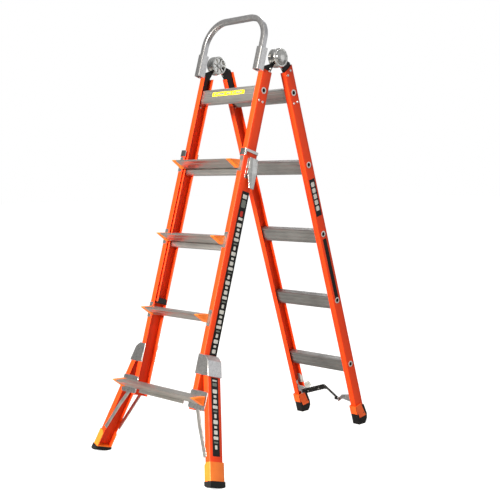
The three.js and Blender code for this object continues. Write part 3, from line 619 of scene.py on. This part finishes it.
def notchedDrum(radius, start, end, side):  # a drum with notches round its outer rim
    h = hinge
    rows = []
    count = h["notches"] * 8
    span = end - start
    stations = [(0, radius - 1.2), (0.03, radius), (0.55, radius), (0.58, radius - h["flangeStep"]),
                (0.97, radius - h["flangeStep"]), (1, radius - h["flangeStep"] - 1.2)]
    for share, r in stations:
        x = start + span * share
        row = []
        for k in range(count):
            a = 2 * math.pi * k / count
            inNotch = share > 0.5 and (k % 8) < 8 * h["notchShare"]
            rr = r - (h["notchDepth"] if inNotch else 0)
            row.append((side * x, rr * math.cos(a), rr * math.sin(a)))
        rows.append(row)
    return loft(rows)


def makeHinge(name, side):
    h = hinge
    node, rearNode, buttonNode = "hinge_front_" + name, "hinge_rear_" + name, "hinge_button_" + name
    body, rearBody, centre = bodyOf[node], bodyOf[rearNode], (0, 0, 0)
    low, high = localBox(node, frontFrame)
    radius, outer = high.z, max(abs(low.x), abs(high.x))
    inside = min(abs(corner.x) for corner in localBox(rearNode, rearFrame))
    button = localBox(buttonNode, frontFrame)
    knobRadius, knobTip = button[1].z, max(abs(corner.x) for corner in button)
    railMiddle = abs(middleOf("inner_rail_" + name, frontFrame).x)
    split = railMiddle + h["halfFlange"] - 3 - h["gap"] - h["armThick"] - h["gap"]  # where the two halves meet
    floor = outer - h["recess"]
    wall = [(0, floor), (knobRadius + 0.4, floor), (knobRadius + 0.4, outer - 1.4), (knobRadius + 1.4, outer),
            (radius - 3.4, outer), (radius - 2.0, outer - 0.5), (radius - 1.0, outer - 2.0), (radius, outer - 4),
            (radius, split + 12.5), (radius - 2.2, split + 11.5), (radius - 2.2, split + 1.6),
            (radius - 3.0, split + 0.6), (0, split + 0.6)]
    makePiece(node + "_drum", turn(wall, "x", centre, 56, side), frontFrame, body, drumSteel,
              [node], 0.4, 28)
    ring = notchedDrum(radius - 0.4, inside + 8.5, split, side)
    makePiece(rearNode + "_drum", ring, rearFrame, rearBody, drumSteel, (), 0.5, 28)
    cap = [(0, inside + 0.4), (9, inside + 0.6), (11, inside + 1.6), (11.5, inside + 6), (radius - 9, inside + 6.6),
           (radius - 7.5, inside + 0.6), (radius - 3, inside), (radius - 0.6, inside + 2),
           (radius - 0.6, inside + 8.4), (0, inside + 8.4)]
    makePiece(rearNode + "_plate", turn(cap, "x", centre, 48, side), rearFrame, rearBody, drumSteel,
              (), 0, 28)
    lugs = []
    lift = Matrix.Translation((0, 0, (knobRadius + radius) / 2 + 0.6))
    for number in range(h["lugs"]):
        block = extrude(roundCorners([(-3.2, -2), (3.2, -2), (2.4, 2), (-2.4, 2)], 0.8, 2), "x",
                        side * (outer - 2), side * (outer + 1.6))
        lugs.append(shift(block, Matrix.Rotation(2 * math.pi * number / h["lugs"], 4, "X") @ lift))
    makePiece(node + "_lugs", merge(*lugs), frontFrame, body, drumSteel, (), 0.4, 28)
    ribs = []
    for number in range(h["ribs"]):
        block = extrude(roundCorners([(-2.2, 13), (2.2, 13), (3.4, radius - 6), (-3.4, radius - 6)], 1, 2), "x",
                        side * (inside + 1.6), side * (inside + 7))
        ribs.append(shift(block, Matrix.Rotation(2 * math.pi * number / h["ribs"], 4, "X")))
    makePiece(rearNode + "_ribs", merge(*ribs), rearFrame, rearBody, drumSteel, (), 0.5, 28)
    k, t = knobRadius, knobTip
    dome = [(0, outer - 3), (k, outer - 3), (k, t - 8), (k - 0.8, t - 6.2), (k - 2.6, t - 5.2), (k - 3.4, t - 5.0),
            (k - 4.6, t - 4.6), (k - 8, t - 3.2), (k - 12, t - 2.0), (k - 17, t - 0.9), (k - 22, t - 0.3), (0, t)]
    makePiece(buttonNode + "_dome", turn(dome, "x", centre, 56, side), frontFrame, bodyOf[buttonNode], drumSteel,
              [buttonNode], 0, 28)


# A black pressed arm from the drum down inside its rail.
arms = {"thick": 4.2, "half": 20.5, "top": 66, "reach": 127, "brow": 32, "frontBrow": 56, "frontNeck": 36}


def armOutline(sign, radius, setback):
    a = arms
    brow, neck = (a["frontBrow"], a["frontNeck"]) if sign < 0 else (a["brow"], 12)
    y, w = sign * setback, a["half"]
    return roundCorners([
        (0, -6), (sign * 9, -radius * 0.62), (y - sign * w, -a["top"]), (y - sign * w, -a["reach"]),
        (y + sign * (w - 6), -a["reach"]), (y + sign * w, -brow - 14), (y + sign * (w - 2), -brow),
        (sign * (radius - 7), -neck)], [0, 10, 8, 3, 3, 6, 8, 3], 4)


def makeArms(name, side):
    radius = localBox("hinge_front_" + name, frontFrame)[1].z
    setback = -middleOf("inner_rail_" + name, frontFrame).y
    web = abs(localBox("inner_rail_" + name, frontFrame)[side > 0].x) - 3.3
    front = extrude(armOutline(-1, radius, setback), "x", side * (web - arms["thick"]), side * (web - 0.1))
    makePiece(f"hinge_front_{name}_arm", front, frontFrame, bodyOf["hinge_front_" + name], blackSteel,
              (), 0.6, 30)
    inside = min(abs(c.x) for c in localBox("hinge_rear_" + name, rearFrame)) + 6.2
    rear = extrude(armOutline(1, radius, setback), "x", side * inside, side * (web - 0.2))
    piece = makePiece(f"hinge_rear_{name}_arm", rear, rearFrame, bodyOf["hinge_rear_" + name], blackSteel,
                      ["hinge_rear_" + name], 0.6, 30)
    clear = turn([(0, web - 5.2), (radius + 2, web - 5.2), (radius + 2, web + 3), (0, web + 3)],
                 "x", (0, 0, 0), 40, side)
    cutAway(piece, clear, rearFrame)
    guard = [(6, -radius + 3), (15, -radius - 6), (24, -radius - 22), (27, -radius - 36), (33, -radius - 36),
             (31, -radius - 20), (24, -radius - 3), (16, -radius + 6)]
    hook = extrude(roundCorners(guard, [2, 8, 6, 2, 2, 6, 8, 2], 4), "x", side * (web - 9.5), side * (web - 5.3))
    makePiece(f"hinge_rear_{name}_guard", hook, rearFrame, bodyOf["hinge_rear_" + name], drumSteel,
              (), 0.7, 30)


for sideName, side in sides:
    makeHinge(sideName, side)
    makeArms(sideName, side)
print("hinges made")

# Telescoping locks: a strap round the rail's top, a plate, ears and a rocking lever.
lock = {"strap": 2.6, "clear": 0.4, "height": 28, "corner": 3.5, "window": 5, "windowTop": 11, "plateSide": 4,
        "pivotUp": 26, "earThick": 3.4, "pinOut": 11, "ridge": 13, "taper": 15}


def makeLock(name, side):
    node, body = "lock_band_" + name, bodyOf["lock_band_" + name]
    low, high = localBox(node, frontFrame)
    channel = localBox("outer_rail_" + name, frontFrame)
    lever = localBox("lock_lever_" + name, frontFrame)
    web, tip, reach = abs(channel[side > 0].x), min(abs(low.x), abs(high.x)), max(abs(low.x), abs(high.x))
    t, c, clear = lock["strap"], lock["corner"], lock["clear"]
    y0, y1, top, foot = channel[0].y - clear, channel[1].y + clear, high.z, high.z - lock["height"]
    outer = roundCorners(quad(side * tip, y0 - t, side * (web + t + clear), y1 + t), [0, c, c, 0], 5)
    innerLine = roundCorners(quad(side * tip, y1, side * (web + clear), y0), [0, 2, 2, 0], 5)
    piece = makePiece(node + "_strap", extrude(outer + innerLine, "z", foot + 1, top), frontFrame, body, leverSteel,
                      [node], 0.6, 30)
    window = quad(y0 + lock["window"], foot - 5, y1 + t + 5, top - lock["windowTop"])
    cutAway(piece, extrude(window, "x", side * (web - 2), side * (web + t + 6)), frontFrame)
    middle, half = (lever[0].y + lever[1].y) / 2, (lever[1].y - lever[0].y) / 2
    wide = half + lock["plateSide"]
    face = roundCorners(quad(middle - wide, low.z, middle + wide, lever[1].z - 3), 5, 4)
    makePiece(node + "_plate", extrude(face, "x", side * (web + 0.5), side * (web + t + 0.7)), frontFrame, body,
              castAluminium, (), 0.6, 30)
    pivot = low.z + lock["pivotUp"]
    ears = []
    for end in (-1, 1):
        edge = middle + end * (half + 0.5)
        ear = roundCorners([(side * (web + 0.6), pivot - 16), (side * reach, pivot - 12), (side * reach, pivot + 12),
                            (side * (web + 0.6), pivot + 16)], [0, 8, 8, 0], 6)
        ears.append(extrude(ear, "y", edge, edge + end * lock["earThick"]))
        pin = [(0, 3), (4.2, 3), (4.2, 3.9), (3.2, 4.3), (0, 4.3)]
        ears.append(turn(pin, "y", (side * (web + lock["pinOut"]), edge, pivot), 20, end))
    makePiece(node + "_ears", merge(*ears), frontFrame, body, leverSteel, (), 0.4, 30)
    makeLever(name, side, lever, pivot)


def makeLever(name, side, box, pivot):  # a hollow pressed rocker with a bright ridge, narrower at its foot
    low, high = box
    y0, y1, taper = low.y, high.y, lock["taper"]
    x0, x1 = sorted((abs(low.x), abs(high.x)))
    rings = []
    stations = [(high.z, x0 + 1, x0 + 8, 0), (high.z - 3, x0, x0 + 11, 0), (high.z - 16, x0, x1 - 5, 0),
                (pivot + 14, x0, x1 - 1.5, 0), (pivot + 6, x0, x1, 0), (pivot - 6, x0 + 1, x1, 2),
                (pivot - 20, x0 + 3.5, x1 - 0.5, 6), (low.z + 10, x0 + 9, x1 - 0.8, taper),
                (low.z + 2, x0 + 10.6, x1 - 1.2, taper + 1), (low.z, x0 + 11.5, x1 - 3, taper + 3)]
    for z, inX, outX, narrow in stations:
        front = y0 + narrow
        depth = min(lock["ridge"], (outX - inX) * 0.6)
        ring = roundCorners([(side * inX, front), (side * (outX - depth), front), (side * outX, front + depth),
                             (side * outX, y1 - 4), (side * (outX - 4), y1), (side * inX, y1)],
                            [0.6, 1.6, 2.2, 2, 2, 0.6], 3)
        rings.append([(x, y, z) for x, y in ring])
    makePiece("lock_lever_" + name + "_rocker", loft(rings), frontFrame, "lock_lever_" + name, leverSteel,
              ["lock_lever_" + name], 0.4, 28)


for sideName, side in sides:
    makeLock(sideName, side)
print("locks made")

# Front feet: moulded boots and rubber soles, in each leg's own frame.
frontFoot = {"wall": 3.5, "floor": 4, "corner": 3.2, "chamfer": 12}


def makeBoot(name, side):
    node = "foot_boot_" + name
    place = legFrame(side)
    low, high = localBox(node, place)
    f = frontFoot
    web, tip = (high.x, low.x) if side > 0 else (low.x, high.x)
    y0, y1, w, c = low.y, high.y, f["wall"], f["corner"]
    outer = roundCorners(quad(tip, y0, web, y1), [0.8, c, c, 0.8], 5)
    hollow = roundCorners(quad(tip, y1 - w, web - side * w, y0 + w), [0.6, 1.5, 1.5, 0.6], 3)
    walls = extrude(outer + hollow, "z", low.z + f["floor"] - 0.1, high.z)
    floorPlate = extrude(outer, "z", low.z, low.z + f["floor"])
    piece = makePiece(node + "_moulding", merge(walls, floorPlate), place, bodyOf[node], orangeNylon,
                      [node], 0.8, 32, 3)
    wedge = [(tip - side * 2, high.z + 2), (tip + side * f["chamfer"], high.z + 2),
             (tip - side * 2, high.z - f["chamfer"])]
    cutAway(piece, extrude(wedge, "y", y0 - 5, y1 + 5), place)


for sideName, side in sides:
    makeBoot(sideName, side)
    easedCopy(f"foot_sole_{sideName}", 1.2, segments=3)
print("front feet made")

# Rear feet: a black rubber shoe with an orange cover that has a tongue down its outer side.
rearFoot = {"ease": 1.6, "skin": 0.9, "top": 1570, "bandFoot": 1609, "tongueFoot": 1638}


def makeRearFoot(name, side):
    node = "rear_shoe_" + name
    easedCopy(node, rearFoot["ease"], rubber, segments=3)
    low, high = localBox(node, rearFrame)
    line = middleOf("rear_rail_" + name, rearFrame).y
    inX, outX = sorted((abs(low.x), abs(high.x)))
    f = rearFoot
    top, band, tip = -f["top"], -f["bandFoot"], -f["tongueFoot"]
    y0 = low.y
    face = roundCorners([(y0 - f["skin"], top), (y0 - f["skin"], band), (y0 + 9, band - 2), (y0 + 12, tip + 7),
                         (line + 27, tip), (line + 19, band - 8), (line + 10, band + 30), (line + 10, top)],
                        [1, 3, 4, 4, 4, 8, 4, 1], 4)
    innerSkin, outerSkin = inX - f["skin"], outX + f["skin"]
    covers = [extrude(face, "x", side * (outX - 1.5), side * outerSkin),
              extrude(face, "x", side * innerSkin, side * (inX + 1.5)),
              extrude(quad(side * innerSkin, band, side * outerSkin, top), "y", y0 - f["skin"], y0 + 1.5)]
    makePiece(node + "_cover", merge(*covers), rearFrame, bodyOf[node], deepNylon, (), 0.4, 32)
    studs = [rivet("x", way, (side * x, line + 14, band - 10), 2.6, 1.0)
             for x, way in ((outerSkin, side), (innerSkin, -side))]
    makePiece(node + "_studs", merge(*studs), rearFrame, bodyOf[node], blackNylon, (), 0, 50)


# V bar: a pressed strip with a scalloped edge, pins in its brackets and studs along it.
strip = {"thick": 8.4, "halfTall": 15, "scallops": 9, "scallopDepth": 2.2, "flat": 7, "reach": 51, "rise": 30,
         "apexShort": 3, "pinGap": 4.4, "studs": (30, 80)}


def makeVBar():
    s = strip
    t = s["thick"]
    endX = localBox("v_bar_bracket_right", rearFrame)[0].x - s["pinGap"]
    pin = rearFrame.inverted() @ Vector(joints["v_bar_swing"]["pos_m"]) / mm
    apex = s["reach"] - t / 2 - s["apexShort"]  # how far the bend stands off the pins' line
    run = endX - 1 - s["flat"]
    lean = math.atan2(apex, run)
    steps = s["scallops"] * 6
    stations = [-endX + 1 + run * k / steps for k in range(steps + 1)]
    stations += [-x for x in reversed(stations)]
    rings = []
    for x in stations:
        far = max(0.0, (abs(x) - s["flat"]) / run)
        y = apex * (1 - far)
        tall = s["halfTall"] - s["scallopDepth"] * (0.5 - 0.5 * math.cos(2 * math.pi * far * s["scallops"]))
        ring = roundCorners(quad(-t / 2, -tall, t / 2, tall), 1.2, 3)
        slope = lean * (0 if abs(x) <= s["flat"] else (1 if x < 0 else -1))
        rings.append([(x - u * math.sin(slope), y + u * math.cos(slope), v) for u, v in ring])
    tilt = Matrix.Translation((0, pin.y, pin.z)) @ Matrix.Rotation(math.atan2(s["rise"], s["reach"]), 4, "X")
    bar = shift(loft(rings), tilt)
    stub = [(0, endX - 16), (6.8, endX - 16), (6.8, endX + 0.6), (4, endX + 0.6), (4, endX + 6.4), (3, endX + 6.9),
            (0, endX + 6.9)]
    pins = [turn(stub, "x", (0, pin.y, pin.z), 24, side) for side in (-1, 1)]
    makePiece("v_bar_strip", merge(bar, *pins), rearFrame, "v_bar", blackSteel, ["v_bar"], 0, 30)
    studs = []
    for end in (-1, 1):
        for x in s["studs"]:
            y = apex * (1 - (x - s["flat"]) / run) - t / 2
            turned = Matrix.Translation((end * x, y, 0)) @ Matrix.Rotation(-end * lean, 4, "Z")
            studs.append(shift(rivet("y", -1, (0, 0, 0), 3.6, 1.4), tilt @ turned))
    makePiece("v_bar_studs", merge(*studs), rearFrame, "v_bar", rivetAluminium, (), 0, 50)


makeVBar()
print("V bar made")

for sideName, side in sides:
    makeRearFoot(sideName, side)
print("rear feet made")

# A rounded keeper and a ribbed clip plate above the V bar, on the left rear rail.
# Each is left, right, top and foot in the rear section's frame.
clip = {"lobe": (-197, -152, -1483, -1527), "plate": (-170, -113, -1518, -1564), "ribs": 6,
        "ribAcross": 5.5, "ribUp": 3.4}


def makeClip():
    x0, x1, top, foot = clip["lobe"]
    line = middleOf("rear_rail_left", rearFrame).y + 20
    lobe = extrude(roundCorners([(x0, foot), (x1 - 4, foot), (x1, top - 12), (x1 - 14, top), (x0, top)],
                                [1, 10, 14, 10, 1], 6), "y", line - 3, line)
    makePiece("keeper_plate", lobe, rearFrame, "rear_section", greyNylon, (), 0.7, 35, 3)
    x0, x1, top, foot = clip["plate"]
    parts = [extrude(roundCorners([(x0, foot), (x0 + 30, foot), (x1, top - 18), (x1 - 12, top), (x0, top - 22)],
                                  [1, 3, 3, 3, 1], 4), "y", line + 4, line + 6)]
    for number in range(clip["ribs"]):
        x = x0 + 12 + number * clip["ribAcross"]
        z = foot + 10 + number * clip["ribUp"]
        parts.append(extrude([(x, z), (x + 2, z), (x + 11, z + 16), (x + 9, z + 16)], "y", line + 3, line + 4.4))
    makePiece("clip_plate", merge(*parts), rearFrame, "rear_section", greyNylon, (), 0.2, 35)


makeClip()
print("keeper and clip made")

# How far below and in front of the top rung's tube each web rivet stands.
# The socket covers the front rail's top ones.
railRivets = {"front": [(44, 14), (45, -7)], "rear": [(42, 10), (41, -12), (-89, -9), (-74, 11)]}
webInset = 1.7  # from a tube's end back to the web's face
for sectionName, place, rungNode, body in (("front", frontFrame, "inner_rung_3", "inner_section"),
                                           ("rear", rearFrame, "rear_rung_5", "rear_section")):
    y, z, tubeEnd = tubeCentre(rungNode, place)
    face = tubeEnd - webInset
    heads = []
    for side in (-1, 1):
        for down, ahead in railRivets[sectionName]:  # flat outside where the sections slide past each other
            heads.append(rivet("x", side, (side * face, y - ahead, z - down), 5.2, 1.2 if down > 0 else 2.2))
            heads.append(rivet("x", -side, (side * (face - rail["wall"]), y - ahead, z - down)))
    makePiece("web_rivets_" + sectionName, merge(*heads), place, body, rivetAluminium, (), 0, 50)
print("rivets made")

# Printed labels without lettering: dark film with plain blocks, or a yellow tag.
# A block is (how far down, tall, wide, ink); rows are (tall, wide), repeated down the film.
labels = {
    "rail": {"along": (-562, -1206), "across": (-54, -16), "lead": [(12, 16, 22, whiteInk), (34, 30, 22, greyInk),
                                                                 (78, 22, 14, redInk), (104, 10, 22, whiteInk)]},
    "leg": {"below": (62, 352), "half": 18, "lead": [(8, 6, 22, whiteInk), (20, 12, 22, greyInk)]},
    "panel": {"along": (-518.4, -680.4), "across": (26, 60),
              "lead": [(14 + 26 * k, 20, 20, whiteInk) for k in range(5)]},
    "plain": {"along": (-783.4, -1057.4), "across": (34, 56), "lead": []},
    "rows": [(15, 22), (9, 14), (15, 18), (12, 24), (6, 20), (15, 12)], "rowGap": 7, "film": 0.25, "ink": 0.45,
}


def makeStrip(name, place, body, web, across, along, lead, column):  # a film on a web with blocks down it
    (y0, y1), (top, foot) = across, along
    film = extrude(roundCorners(quad(y0, foot, y1, top), 1.5, 3), "x", web - 0.2, web + labels["film"])
    makePiece(name + "_film", film, place, body, blackFilm, (), 0, 40)
    blocks = {}
    for down, tall, wide, ink in lead:
        blocks.setdefault(ink, []).append((top - down, tall, wide))
    z, number = top - (lead[-1][0] + lead[-1][1] + 12 if lead else 8), 0
    while column and z - 20 > foot:
        tall, wide = labels["rows"][number % len(labels["rows"])]
        blocks.setdefault(greyInk if number % 6 == 4 else whiteInk, []).append((z, tall, wide))
        z, number = z - tall - labels["rowGap"], number + 1
    middle = (y0 + y1) / 2
    for ink, rows in blocks.items():
        plates = [extrude(roundCorners(quad(middle - w / 2, z - t, middle + w / 2, z), min(w, t) * 0.2, 2), "x",
                          web, web + labels["ink"]) for z, t, w in rows]
        makePiece(f"{name}_{ink.name}", merge(*plates), place, body, ink, (), 0, 40)


outerWeb = localBox("outer_rail_right", frontFrame)[1].x
legPlace = legFrame(1)
legLow, legHigh = localBox("flared_leg_right", legPlace)
legMiddle = (legLow.y + legHigh.y) / 2
rearWeb = localBox("rear_rail_right", rearFrame)[1].x
railLabel, legLabel, panel, plain = (labels[k] for k in ("rail", "leg", "panel", "plain"))
makeStrip("rail_label", frontFrame, "base_section", outerWeb, railLabel["across"], railLabel["along"],
          railLabel["lead"], True)
makeStrip("leg_label", legPlace, "base_section", legHigh.x,
          (legMiddle - legLabel["half"], legMiddle + legLabel["half"]),
          (legHigh.z - legLabel["below"][0], legHigh.z - legLabel["below"][1]), legLabel["lead"], True)
makeStrip("rear_panel", rearFrame, "rear_section", rearWeb, panel["across"], panel["along"], panel["lead"], False)
makeStrip("rear_strip", rearFrame, "rear_section", rearWeb, plain["across"], plain["along"], plain["lead"], False)

# A yellow tag on the top rung's front; each mark is (left, wide).
rungTag = {"ends": (-95, 93), "down": (32, 15), "markDown": (27, 20),
           "marks": ((-84, 12), (-64, 40), (-10, 24), (24, 10), (44, 36))}
rungLow, rungHigh = localBox("inner_rung_3", frontFrame)
face, (tagLeft, tagRight) = rungLow.y, rungTag["ends"]
tagFoot, tagTop, markFoot, markTop = (rungHigh.z - down for down in rungTag["down"] + rungTag["markDown"])
tag = roundCorners(quad(tagLeft, tagFoot, tagRight, tagTop), 2, 3)
makePiece("rung_tag", extrude(tag, "y", face - 0.3, face + 0.3), frontFrame, "inner_section", yellowInk,
          (), 0, 40)
marks = [extrude(roundCorners(quad(x, markFoot, x + w, markTop), 1, 2), "y", face - 0.5, face)
         for x, w in rungTag["marks"]]
makePiece("rung_tag_marks", merge(*marks), frontFrame, "inner_section", greyInk, (), 0, 40)
print("labels made")


# Floor, light and camera.
def makeFloor():
    bm = bmesh.new()
    bmesh.ops.create_grid(bm, x_segments=8, y_segments=8, size=30)
    mesh = bpy.data.meshes.new("studio_floor")
    bm.to_mesh(mesh)
    bm.free()
    floor = bpy.data.objects.new("studio_floor", mesh)
    bpy.context.scene.collection.objects.link(floor)
    material = makeMaterial("paleStudioFloor", ("#989898", "#9C9C9C"), (0.75, 0.85), (900, 900, 900),
                            (30, 30, 30), 0.0)
    tree = material.node_tree
    surface = tree.nodes["Principled BSDF"]
    glow = addNode(tree, "ShaderNodeEmission", {"Color": (1, 1, 1, 1), "Strength": 0.86})
    seen = addNode(tree, "ShaderNodeLightPath")
    lit = addNode(tree, "ShaderNodeAddShader", {0: surface.outputs["BSDF"], 1: glow.outputs["Emission"]})
    mix = addNode(tree, "ShaderNodeMixShader", {
        "Fac": seen.outputs["Is Camera Ray"], 1: surface.outputs["BSDF"], 2: lit.outputs["Shader"]})
    tree.links.new(mix.outputs["Shader"], tree.nodes["Material Output"].inputs["Surface"])
    mesh.materials.append(material)


def softLight(name, power, size, position, target, colour=(1, 1, 1)):
    lamp = bpy.data.lights.new(name, "AREA")
    lamp.energy = power
    lamp.size = size
    lamp.color = colour
    light = bpy.data.objects.new(name, lamp)
    light.location = position
    light.rotation_mode = "QUATERNION"
    light.rotation_quaternion = (Vector(target) - Vector(position)).to_track_quat("-Z", "Y")
    bpy.context.scene.collection.objects.link(light)


# Bright to the right and behind, dimmer to the front left, so metal faces part from each other.
# The backdrop is white.
studio = {"dim": 0.13, "bright": 0.5, "dimFrom": (-0.62, -0.5, -0.6)}


def makeWorld():
    world = bpy.data.worlds.new("paleStudio")
    bpy.context.scene.world = world
    world.use_nodes = True
    tree = world.node_tree
    way = addNode(tree, "ShaderNodeTexCoord")
    facing = addNode(tree, "ShaderNodeVectorMath", {0: way.outputs["Generated"], 1: studio["dimFrom"]},
                     operation="DOT_PRODUCT")
    level = addNode(tree, "ShaderNodeMapRange", {
        "Value": facing.outputs["Value"], "From Min": -0.2, "From Max": 0.7,
        "To Min": studio["bright"], "To Max": studio["dim"]}, interpolation_type="SMOOTHSTEP")
    room = addNode(tree, "ShaderNodeBackground", {"Color": (1, 1, 1, 1), "Strength": level.outputs["Result"]})
    backdrop = addNode(tree, "ShaderNodeBackground", {"Color": (1, 1, 1, 1), "Strength": 1.0})
    seen = addNode(tree, "ShaderNodeLightPath")
    mix = addNode(tree, "ShaderNodeMixShader", {
        "Fac": seen.outputs["Is Camera Ray"], 1: room.outputs["Background"], 2: backdrop.outputs["Background"]})
    tree.links.new(mix.outputs["Shader"], tree.nodes["World Output"].inputs["Surface"])


makeFloor()
makeWorld()
softLight("keyLight", 820, 1.2, (0.7, -5.2, 2.8), (0, 0, 0.8), (1, 0.94, 0.84))
softLight("sideLight", 13, 3.0, (4.2, 3.6, 1.6), (0, 0, 1.0))
softLight("backLight", 40, 2.0, (-2.5, 3.6, 3.4), (0, 0, 0.9))

# Millimetres from the hinge axis, degrees, and a focal length for an image this many units wide.
shot = {"width": 500, "sensor": 36, "fromHinge": (2812.75, -2762.66, -447.95),
        "yaw": 45.47, "pitch": 4.76, "roll": -0.93, "focal": 945.0}
lens = bpy.data.cameras.new("camera")
lens.sensor_width = shot["sensor"]
lens.lens = shot["focal"] / shot["width"] * shot["sensor"]
camera = bpy.data.objects.new("camera", lens)
bpy.context.scene.collection.objects.link(camera)
yaw, pitch, roll = (math.radians(shot[k]) for k in ("yaw", "pitch", "roll"))
look = Vector((-math.sin(yaw) * math.cos(pitch), math.cos(yaw) * math.cos(pitch), -math.sin(pitch)))
right = Vector((math.cos(yaw), math.sin(yaw), 0))
up = right.cross(look)
turnedRight = right * math.cos(roll) + up * math.sin(roll)
turnedUp = up * math.cos(roll) - right * math.sin(roll)
camera.matrix_world = Matrix((turnedRight, turnedUp, -look)).transposed().to_4x4()
camera.location = hingePoint + Vector(shot["fromHinge"]) * mm
bpy.context.scene.camera = camera
bpy.context.scene.view_settings.view_transform = "Standard"
print("stage set")
